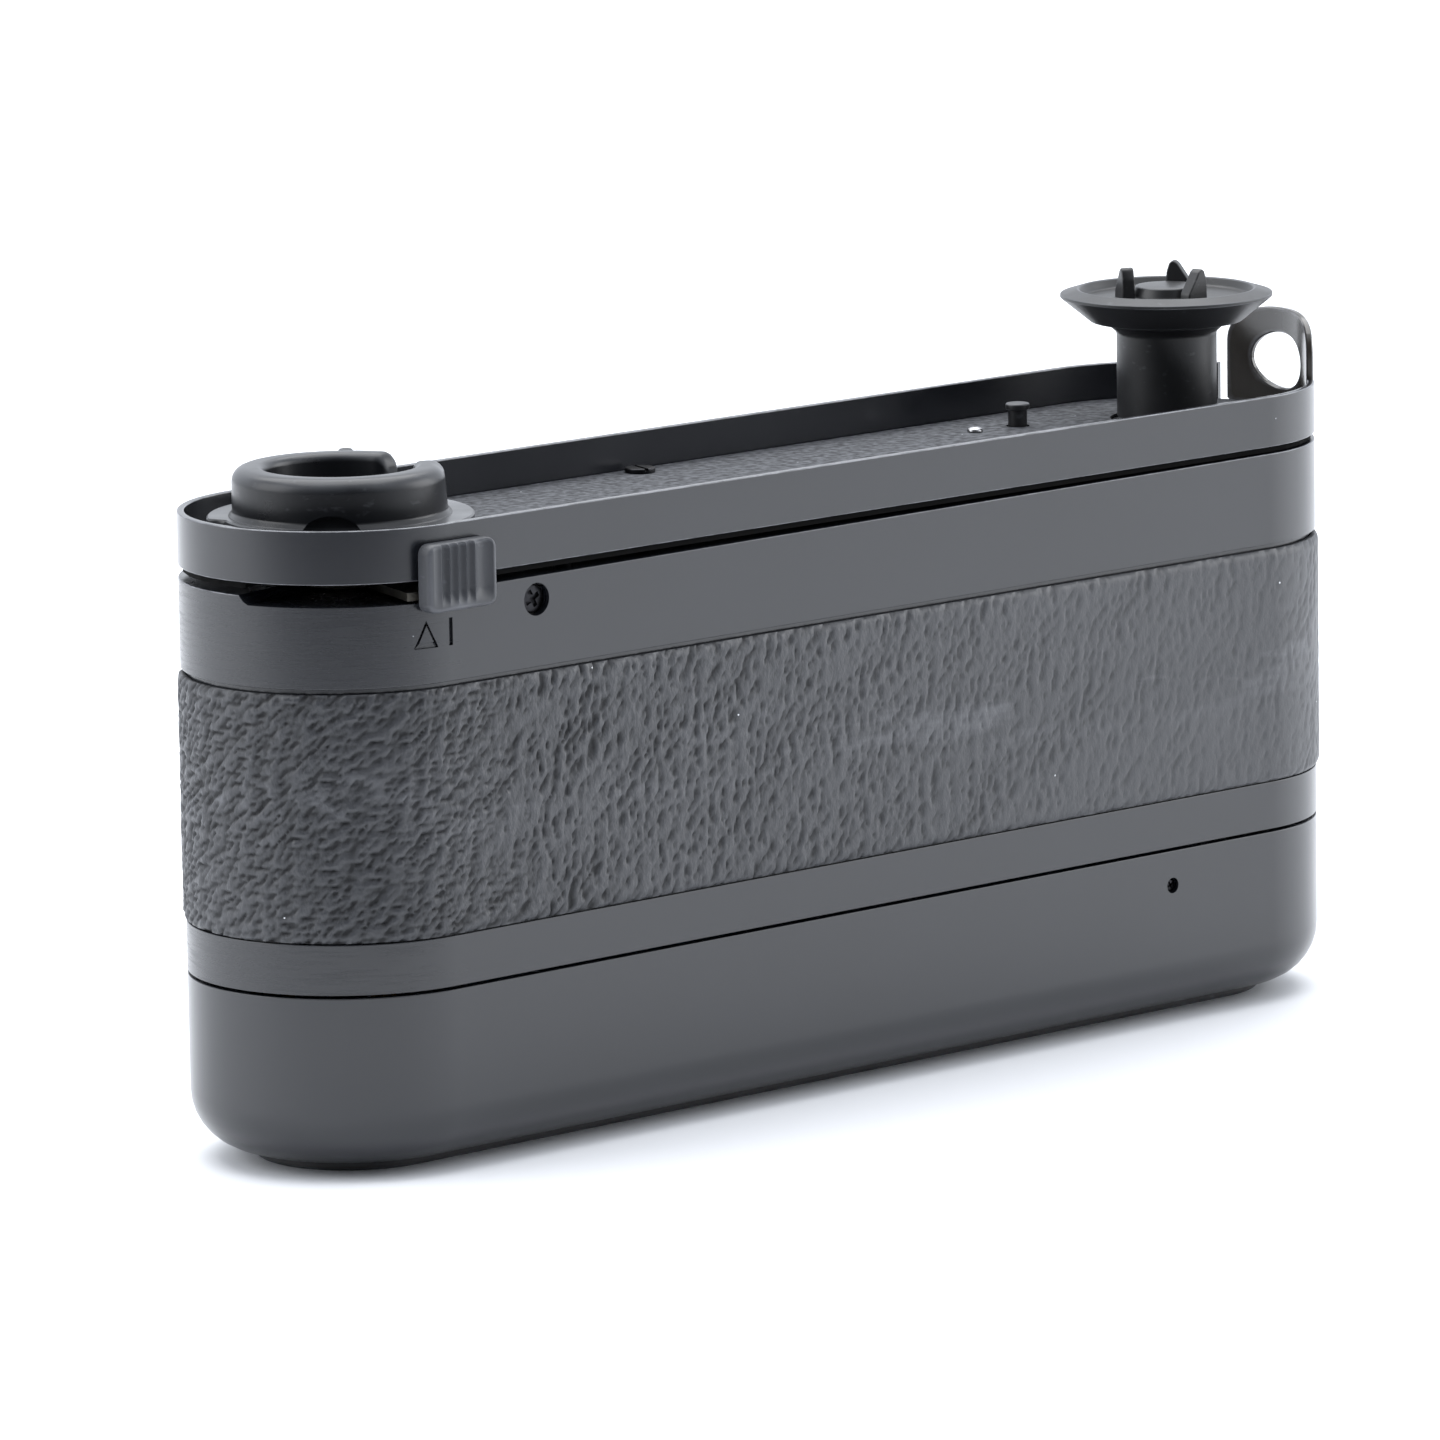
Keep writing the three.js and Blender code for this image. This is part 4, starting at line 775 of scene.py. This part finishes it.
def cross_screw(name, x, z, front, radius, deep):
    """A pan-headed cross-recess screw that looks along -Y."""
    corners = [(0, -deep, 0), (radius, -deep, 0), (radius, -0.1, 0.22), (0, 0, 0)]
    head = turned(name, corners, 0, 0, 40)
    for wide, tall in ((0.62, 0.17), (0.17, 0.62)):
        arm = rectangle_points(-wide * radius, -tall * radius, wide * radius, tall * radius)
        cut(head, prism(arm, -0.38, 1))
    head.data.transform(Matrix.Rotation(math.radians(28), 4, "Z"))
    head.data.transform(Matrix.Rotation(math.radians(90), 4, "X"))
    head.data.transform(Matrix.Translation((x, front, z)))
    return head


def side_screws():
    x, _, z = centre(SIDE_SCREW_LOW, SIDE_SCREW_HIGH)
    screw = cross_screw("side_screw_head", x, z, SIDE_SCREW_LOW.y, 1.4, 0.55)
    finish_piece(screw, "winder", ["side_screw"], DARK_STEEL, bevel=0.03)
    grub_x, _, grub_z = centre(GRUB_LOW, GRUB_HIGH)
    grub = cross_screw("grub_screw_head", grub_x, grub_z, GRUB_LOW.y, 0.65, 1.1)
    finish_piece(grub, "battery_case", ["grub_screw"], DARK_STEEL)


# ---- Tray ----
def tray_shell():
    low, rim = TRAY_LOW.z, TRAY_HIGH.z
    floor = LINER_LOW.z - 0.05
    inner = END_RADIUS - RIM_WALL
    corners = [
        (0.02, low, 0),
        (END_RADIUS, low, 0.1),
        (END_RADIUS, rim, 0.13),
        (inner, rim, 0.13),
        (inner, floor, 0.2),
        (0.02, floor, 0),
    ]
    shell = sweep("tray_shell", rounded(corners), slot_outline())
    reach = 32.2
    wedge = sector_points(END_RADIUS + 3, HOOK_TURN - reach, HOOK_TURN + reach, ARC_X)
    cut(
        shell,
        prism(wedge, floor, rim + 1),
        rod(5.4, low - 1, floor + 1, LOCK_X, 0, 56),
        rod(4.6, low - 1, floor + 1, DRIVE_X, 0, 48),
        rod(1.15, low - 1, floor + 1, *pin_centre(), 24),
    )
    finish_piece(shell, "winder", ["tray"], PAINT)


def tray_sheet():
    low, high = LINER_LOW.z, LINER_HIGH.z
    radius = LINER_HIGH.y
    path = rounded([(0.02, low, 0), (radius, low, 0), (radius, high, 0.1), (0.02, high, 0)])
    sheet = sweep("tray_sheet", path, slot_outline(40))
    cut(
        sheet,
        rod(6.0, low - 1, high + 1, LOCK_X, 0, 48),
        rod(5.7, low - 1, high + 1, DRIVE_X, 0, 48),
        rod(1.2, low - 1, high + 1, *pin_centre(), 24),
    )
    finish_piece(sheet, "winder", ["tray_liner"], FLOCK)


def arch_reach(angle, half_width, bottom, shoulder, top, centre_z):
    """Distance from the hole's centre to the tab's outline, the way the angle points."""
    across, up = math.cos(angle), math.sin(angle)
    near, far = 0.0, 30.0
    for _ in range(40):
        reach = (near + far) / 2
        s, z = abs(reach * across), centre_z + reach * up
        if z <= shoulder:
            inside = z >= bottom and s <= half_width
        else:
            share = min(1.0, s / half_width)
            inside = s <= half_width and z <= shoulder + (top - shoulder) * (1 - share**2.5) ** 0.4
        near, far = (reach, far) if inside else (near, reach)
    return near


def hook_plate():
    """The tab: a slice of the end wall with a rounded top and an oval hole."""
    radius = END_RADIUS
    thick = RIM_WALL
    half_width = 7.6
    centre_z = TRAY_HIGH.z + 0.9
    shoulder = HOOK_HIGH.z - 4.2
    hole_wide, hole_tall = 4.5, 2.8
    soft = 0.14
    turns = 120
    section = [(0, soft, 0.0), (soft, 0, 0.6)]
    outer_side = [(-soft, 0, 0.6), (0, soft, 0.0), (0, thick - soft, 0.0), (-soft, thick, 0.6)]
    vertices, edge = [], []
    per_turn = 0
    for i in range(turns):
        angle = 2 * math.pi * i / turns
        inner = 1 / math.hypot(math.cos(angle) / hole_wide, math.sin(angle) / hole_tall)
        outer = arch_reach(angle, half_width, HOOK_LOW.z, shoulder, HOOK_HIGH.z, centre_z)
        steps = [inner + (outer - inner) * k / 6 for k in range(1, 6)]
        points = [(inner + away, deep, e) for away, deep, e in section]
        points += [(reach, 0, 0.0) for reach in steps]
        points += [(outer + away, deep, e) for away, deep, e in outer_side]
        points += [(reach, thick, 0.0) for reach in reversed(steps)]
        points += [(inner + soft, thick, 0.6), (inner, thick - soft, 0.0)]
        per_turn = len(points)
        for reach, deep, e in points:
            turn = math.radians(HOOK_TURN) + reach * math.cos(angle) / radius
            away = radius - deep
            z = centre_z + reach * math.sin(angle)
            vertices.append((ARC_X + away * math.cos(turn), away * math.sin(turn), z))
            edge.append(e)
    faces = []
    for i in range(turns):
        here, after = i * per_turn, (i + 1) % turns * per_turn
        for k in range(per_turn):
            up = (k + 1) % per_turn
            faces.append((here + k, after + k, after + up, here + up))
    tab = mesh_object("hook_plate", vertices, faces, np.array(edge, np.float32))
    finish_piece(tab, "winder", ["hook_tab"], PAINT_TAB)


def small_tray_parts():
    for number in (1, 2, 3):
        low, high = cad(f"tray_screw_{number}")
        x, y, _ = centre(low, high)
        top = high.z
        corners = [
            (0, low.z, 0),
            (0.8, low.z, 0),
            (0.8, top - 0.45, 0),
            (1.5, top - 0.45, 0),
            (1.5, top, 0.16),
            (0, top, 0),
        ]
        screw = turned(f"tray_screw_head_{number}", corners, x, y, 40)
        turn = math.radians(25 + 50 * number)
        slot = prism(rectangle_points(-2, -0.2, 2, 0.2), top - 0.25, top + 1)
        slot.data.transform(Matrix.Translation((x, y, 0)) @ Matrix.Rotation(turn, 4, "Z"))
        cut(screw, slot)
        finish_piece(screw, "winder", [f"tray_screw_{number}"], DARK_STEEL)
    x, y, _ = centre(RIVET_LOW, RIVET_HIGH)
    low, high = RIVET_LOW.z, RIVET_HIGH.z
    dome = [(0, low, 0), (0.8, low, 0.05), (0.72, low + 0.3, 0.2), (0.3, high, 0.1), (0, high, 0)]
    rivet = turned("rivet_head", dome, x, y, 32)
    finish_piece(rivet, "winder", ["tray_rivet"], STEEL)
    x, y, _ = centre(STUD_LOW, STUD_HIGH)
    top = STUD_HIGH.z
    corners = [(0, STUD_LOW.z, 0), (0.55, STUD_LOW.z, 0), (0.55, top - 0.95, 0)]
    corners += [(0.72, top - 0.9, 0.1), (0.72, top, 0.3), (0, top, 0)]
    stud = turned("stud_pin", corners, x, y, 32)
    finish_piece(stud, "winder", ["locating_stud"], DARK_MOULDING)


def trip_button():
    x, y = pin_centre()
    top = TRIP_HIGH.z
    neck, head, collar = 0.95, 1.2, 1.6
    ledge = HOUSING_HIGH.z + 0.05
    corners = [
        (0, TRIP_LOW.z, 0),
        (neck, TRIP_LOW.z, 0.1),
        (neck, ledge, 0),
        (collar, ledge, 0.1),
        (collar, ledge + 0.45, 0.1),
        (neck, ledge + 0.45, 0),
        (neck, top - 0.7, 0),
        (head, top - 0.6, 0.08),
        (head, top, 0.2),
        (0, top, 0),
    ]
    pin = turned("trip_button", corners, x, y, 40)
    finish_piece(pin, "trip", ["trip_pin"], MOULDING)


# ---- Camera lock ----
def ring_body():
    """The C ring: a rounded section carried round from one side of the opening to the other."""
    base, top = FLANGE_TOP - 0.4, RING_HIGH.z
    start, stop = 14.0, 342.0
    turns = 132
    middle = (RING_INNER + RING_OUTER) / 2
    corners = [
        (RING_INNER - 0.15, base, 0),
        (RING_OUTER + 0.4, base, 0),
        (RING_OUTER + 0.35, base + 0.45, 0.3),
        (RING_OUTER, base + 0.9, 0.4),
        (RING_OUTER, top, 1.35),
        (RING_INNER, top, 0.8),
        (RING_INNER - 0.15, base, 0),
    ]
    section = rounded(corners, 6)[:-1]
    vertices, edge = [], []
    for i in range(turns + 1):
        angle = start + (stop - start) * i / turns
        tip = (stop - angle) / 13.0
        narrow = math.sqrt(max(0.0, 1 - (1 - min(1.0, tip + 0.02)) ** 2.4))
        back = (angle - start) / 10.0
        blunt = math.sqrt(max(0.0, 1 - (1 - min(1.0, back + 0.12)) ** 2.2))
        slim = min(narrow, blunt)
        pinch = 0.45 * math.exp(-(((stop - 22 - angle) / 12.0) ** 2))
        for radius, height, e in section:
            share = (height - base) / (top - base)
            wide = middle + (radius - middle) * slim
            wide -= pinch * share * (1 if radius > middle else 0)
            z = base + (height - base) * (0.45 + 0.55 * slim)
            turn = math.radians(angle)
            vertices.append((LOCK_X + wide * math.cos(turn), wide * math.sin(turn), z))
            edge.append(e * 0.35)
    count = len(section)
    faces = [tuple(range(count)), tuple(turns * count + k for k in range(count))]
    for i in range(turns):
        faces += band_faces(i * count, (i + 1) * count, count)
    return mesh_object("lock_c_ring", vertices, faces, np.array(edge, np.float32))


def ring_flange():
    """The flange under the ring: wider on the cam side, with rounded steps between."""
    low, top = FLANGE_TOP - FLANGE_THICK, FLANGE_TOP
    outline = circle_outline(120)
    angles = np.degrees(np.arctan2(outline[:, 2], outline[:, 1]))
    rise = np.clip((angles + 84) / 8, 0, 1) * np.clip((154 - angles) / 8, 0, 1)
    radius = 11.0 + 1.5 * rise * rise * (3 - 2 * rise)
    soft = 0.15
    path = [
        (0.02, low, 0.0),
        (radius - soft, low, 0.0),
        (radius, low + soft, 0.3),
        (radius, top - soft, 0.3),
        (radius - soft, top, 0.3),
        (radius - 3 * soft, top, 0.0),
        (0.02, top, 0.0),
    ]
    return sweep("flange", path, outline, LOCK_X)


def ring_bite():
    """The half-oval bite out of the ring's lower edge."""
    low = FLANGE_TOP - FLANGE_THICK
    half_width, rise = 2.9, 2.1
    oval = [(half_width * x, low + rise * z) for x, z in circle_points(1)]
    bite = prism(oval, -13, -9.0, across=True)
    place = Matrix.Translation((LOCK_X, 0, 0)) @ Matrix.Rotation(math.radians(-45), 4, "Z")
    bite.data.transform(place)
    return bite


def lock_ring():
    hub = rod(5.0, RING_LOW.z, FLANGE_TOP - FLANGE_THICK + 0.1, LOCK_X, 0, 48)
    ring = join(ring_body(), ring_flange(), hub)
    cut(ring, ring_bite())
    finish_piece(ring, "camera_lock", ["lock_ring"], RING_MOULDING, sharp=38)
    corners = [(0, CAP_LOW.z, 0), (3.4, CAP_LOW.z, 0), (3.4, CAP_HIGH.z, 0.15), (0, CAP_HIGH.z, 0)]
    cap = turned("lock_cap", corners, LOCK_X, 0, 56)
    slot = rectangle_points(LOCK_X - 5, -0.35, LOCK_X + 5, 0.35)
    cut(cap, prism(slot, CAP_HIGH.z - 0.4, CAP_HIGH.z + 1))
    finish_piece(cap, "camera_lock", ["lock_cap_screw"], DARK_STEEL)


def knob_relief(x, z, half_wide, half_tall):
    """How far the knob's front is sunk: upright flutes that run out near the lower edge."""
    ridges = [share * half_wide for share in KNOB_RIDGES]
    low_fade = np.clip((z + half_tall - 0.35) / 1.6, 0, 1)
    low_fade = low_fade * low_fade * (3 - 2 * low_fade)
    sunk = np.zeros_like(x)
    spans = list(zip(ridges[:-1], ridges[1:])) + [(ridges[-1], 0.86 * half_wide)]
    spans.append((-0.86 * half_wide, ridges[0]))
    for deep, (left, right) in zip(KNOB_FLUTES, spans):
        share = (x - left) / (right - left)
        inside = (share > 0) & (share < 1)
        sunk = np.where(inside, deep * np.sin(np.pi * np.clip(share, 0, 1)) ** 0.8, sunk)
    return sunk * low_fade


def knob():
    front, back = KNOB_LOW.y, KNOB_HIGH.y
    half_wide = (KNOB_HIGH.x - KNOB_LOW.x) / 2
    half_tall = (KNOB_HIGH.z - KNOB_LOW.z) / 2
    centre_x, _, centre_z = centre(KNOB_LOW, KNOB_HIGH)
    corner, roll = 1.0, 0.5
    columns, rows = 150, 90
    a, b = np.meshgrid(np.linspace(-1, 1, columns + 1), np.linspace(-1, 1, rows + 1), indexing="ij")
    x, z = a * half_wide, b * half_tall
    over_x = np.maximum(np.abs(x) - (half_wide - corner), 0)
    over_z = np.maximum(np.abs(z) - (half_tall - corner), 0)
    away = np.hypot(over_x, over_z)
    shrink = np.where(away > 0, np.maximum(over_x, over_z) / np.maximum(away, 1e-9), 1.0)
    x = np.sign(x) * (np.minimum(np.abs(x), half_wide - corner) + over_x * shrink)
    z = np.sign(z) * (np.minimum(np.abs(z), half_tall - corner) + over_z * shrink)
    reach = np.hypot(
        np.maximum(np.abs(x) - (half_wide - corner), 0),
        np.maximum(np.abs(z) - (half_tall - corner), 0),
    )
    to_edge = np.maximum(corner - reach, 0)
    to_edge = np.minimum(to_edge, np.minimum(half_wide - np.abs(x), half_tall - np.abs(z)))
    lean = np.clip(1 - to_edge / roll, 0, 1)
    rounding = roll * (1 - np.sqrt(1 - lean * lean))
    relief = knob_relief(x, z, half_wide, half_tall)
    relief = relief * np.clip(to_edge / 0.3, 0.25, 1)
    y = front + rounding + relief
    crest = np.clip(1 - relief / 0.08, 0, 1) * np.clip(1 - np.abs(x) / (0.55 * half_wide), 0, 1)
    edge = 0.55 * crest * (lean < 0.3) + 0.5 * np.clip(np.sin(np.pi * lean), 0, 1)
    vertices = np.stack([centre_x + x, y, centre_z + z], axis=-1).reshape(-1, 3)
    index = np.arange(vertices.shape[0]).reshape(columns + 1, rows + 1)
    faces = [
        (index[i, j], index[i + 1, j], index[i + 1, j + 1], index[i, j + 1])
        for i in range(columns)
        for j in range(rows)
    ]
    border = [index[i, 0] for i in range(columns)] + [index[columns, j] for j in range(rows)]
    border += [index[i, rows] for i in range(columns, 0, -1)]
    border += [index[0, j] for j in range(rows, 0, -1)]
    behind = vertices[border].copy()
    behind[:, 1] = back
    first = len(vertices)
    vertices = np.concatenate([vertices, behind])
    for k in range(len(border)):
        after = (k + 1) % len(border)
        faces.append((border[k], border[after], first + after, first + k))
    faces.append(tuple(range(first, first + len(border))))
    edge = np.concatenate([edge.ravel(), np.zeros(len(border))]).astype(np.float32)
    cap = mesh_object("thumb_piece", vertices, faces, edge)
    finish_piece(cap, "camera_lock", ["lever_knob"], KNOB, sharp=50)


# ---- Drive coupling ----
def dog_fin(angle, tip):
    """One saw-tooth dog: steep on one side, a ramp on the other, with softened corners."""
    low = tip - 3.4
    half = 0.65
    points = [
        (-1.9, low),
        (0.85, low),
        (0.75, tip - 1.2),
        (0.45, tip - 0.25),
        (0.05, tip),
        (-0.4, tip - 0.3),
        (-1.2, tip - 1.5),
        (-1.85, tip - 2.4),
    ]
    fin = prism(points, -DOG_AWAY - half, -DOG_AWAY + half, across=True)
    shape = bmesh.new()
    shape.from_mesh(fin.data)
    edges = shape.edges[:]
    bmesh.ops.bevel(shape, geom=edges, offset=0.18, segments=3, profile=0.5, affect="EDGES")
    shape.to_mesh(fin.data)
    shape.free()
    fin.data.transform(Matrix.Rotation(math.radians(angle + 90), 4, "Z"))
    fin.data.transform(Matrix.Translation((DRIVE_X, 0, 0)))
    return fin


def coupling():
    top = HEAD_HIGH.z - 2.2
    bottom = HEAD_LOW.z
    bore, hub, rim = 2.5, 5.0, 10.6
    corners = [
        (0, bottom + 9.5, 0),
        (bore, bottom + 9.5, 0),
        (bore, bottom, 0.2),
        (hub, bottom, 0.25),
        (hub, top - 4.4, 0.6),
        (5.9, top - 3.65, 0.3),
        (7.6, top - 3.3, 0.4),
        (rim, top - 0.85, 0.1),
        (rim, top - 0.55, 0.1),
        (8.75, top + 0.0, 0.3),
        (8.2, top - 0.95, 0.5),
        (3.4, top - 0.95, 0.4),
        (3.05, top + 0.2, 0.3),
        (0, top + 0.3, 0),
    ]
    head = turned("drive_dog_plate", corners, DRIVE_X, 0, 96)
    join(head, *[dog_fin(DOG_TURN + 120 * k, HEAD_HIGH.z) for k in range(3)])
    finish_piece(head, "drive", ["coupling_head"], MOULDING, sharp=38)


# ---- Finishes of the CAD nodes that stay ----
def dress_cad_nodes():
    finishes = {
        STEEL: ["lock_shaft", "lock_clip", "case_lock_clip", "drive_shaft", "motor_shaft"]
        + ["trip_spring", "detent_spring", "contact_spring_1", "contact_spring_2"],
        LEVER_STEEL: ["lock_lever"],
        MOTOR_CAN: ["motor"],
        BRASS: ["lock_bush", "drive_bush", "drive_gear", "reduction_gear_1", "motor_pinion"]
        + ["detent_post", "supply_blade_front", "supply_blade_rear", "right_contact"]
        + [f"{place}_contact_{side}" for place in ("left", "middle") for side in ("front", "rear")],
        DARK_MOULDING: ["chassis_plate", "gear_plate", "reduction_gear_2", "switch_cam", "main_switch"],
        SPACER_PAINTED_SHADE: ["tray_spacer"],
        CELL: [f"cell_{number}" for number in range(1, 5)],
        BOARD: ["circuit_board"],
        RED_SLEEVE: ["lead_red"],
        BLACK_SLEEVE: ["lead_black"],
    }
    for material, nodes in finishes.items():
        for name in nodes:
            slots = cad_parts[name].data.materials
            slots.clear()
            slots.append(material)


# ---- Floor, light and camera ----
VIEWER_SIDE = (-0.66, -0.75)


def floor():
    reach = 4.0
    mesh = bpy.data.meshes.new("table_top")
    corners = [(-reach, -reach, 0), (reach, -reach, 0), (reach, reach, 0), (-reach, reach, 0)]
    mesh.from_pydata(corners, [], [(0, 1, 2, 3)])
    plane = placed("table_top", mesh)
    made = Finish("white_table", (0.86, 0.875, 0.90), 0.6, specular=0.3)
    cloud = made.spread(made.noise(300, 2), 0.3, 0.7)
    pale = made.mix(cloud, made.color, (0.875, 0.885, 0.905, 1))
    # Painted shade: the table turns dark grey from about 0.22 m out on the viewer's side, so the
    # winder's front reflects a dark surround.
    toward = {0: made.position, 1: (*VIEWER_SIDE, 0.0)}
    away = made.node("ShaderNodeVectorMath", toward, operation="DOT_PRODUCT").outputs["Value"]
    made.use("Base Color", made.mix(made.spread(away, 0.22, 0.40), pale, (0.08, 0.08, 0.085, 1)))
    mesh.materials.append(made.material)


def soft_light(name, direction, distance, size, radiance, color=(1, 1, 1)):
    """A square soft light that faces the winder's middle from the direction given."""
    lamp = bpy.data.lights.new(name, "AREA")
    lamp.shape = "SQUARE"
    lamp.size = size
    lamp.energy = radiance * math.pi * size * size
    lamp.color = color
    made = placed(name, lamp)
    away = Vector(direction).normalized()
    middle = Vector((0, 0, 0.035))
    made.location = middle + away * distance
    made.rotation_mode = "QUATERNION"
    made.rotation_quaternion = away.to_track_quat("Z", "Y")


def studio():
    """A white surround that is dim on the side the viewer stands, and three soft lights."""
    world = bpy.data.worlds.new("studio")
    bpy.context.scene.world = world
    world.use_nodes = True
    tree = world.node_tree
    background = tree.nodes["Background"]
    direction = tree.nodes.new("ShaderNodeTexCoord")
    toward = tree.nodes.new("ShaderNodeVectorMath")
    toward.operation = "DOT_PRODUCT"
    toward.inputs[1].default_value = (*VIEWER_SIDE, 0.0)
    dim = tree.nodes.new("ShaderNodeMapRange")
    dim.interpolation_type = "SMOOTHSTEP"
    for index, value in enumerate((0.35, 0.88, 1.35, 0.05), start=1):
        dim.inputs[index].default_value = value
    tree.links.new(direction.outputs["Generated"], toward.inputs[0])
    tree.links.new(toward.outputs["Value"], dim.inputs[0])
    tree.links.new(dim.outputs[0], background.inputs["Strength"])
    background.inputs["Color"].default_value = (0.94, 0.985, 1.06, 1)
    soft_light("overhead", (0.15, 0.25, 1.0), 1.0, 1.2, 3.2)
    soft_light("right_front", (0.85, -0.50, 0.30), 1.0, 0.6, 3.2)
    soft_light("left_back", (-0.85, 0.5, 0.45), 1.0, 0.7, 2.1)
    bpy.context.scene.view_settings.view_transform = "Standard"


def camera():
    """A long lens about 1 m away, a little above the winder and to the left of its front."""
    data = bpy.data.cameras.new("view")
    data.lens = 260.17
    data.sensor_width = 36
    data.clip_start = 0.05
    data.clip_end = 50
    made = placed("view", data)
    azimuth, elevation, roll = math.radians(-42.215), math.radians(10.076), math.radians(-0.874)
    level = math.cos(elevation)
    back = Vector((math.sin(azimuth) * level, -math.cos(azimuth) * level, math.sin(elevation)))
    target = Vector((-0.0092, -0.0030, 0.0356))
    made.location = target + back * 1.0
    made.rotation_mode = "QUATERNION"
    made.rotation_quaternion = (-back).to_track_quat("-Z", "Y") @ Quaternion((0, 0, 1), roll)
    bpy.context.scene.camera = made


case_shell()
foot()
case_lock()
tripod_socket()
housing_shell()
leather_sleeve()
side_screws()
tray_shell()
tray_sheet()
hook_plate()
small_tray_parts()
trip_button()
lock_ring()
knob()
coupling()
dress_cad_nodes()
floor()
studio()
camera()
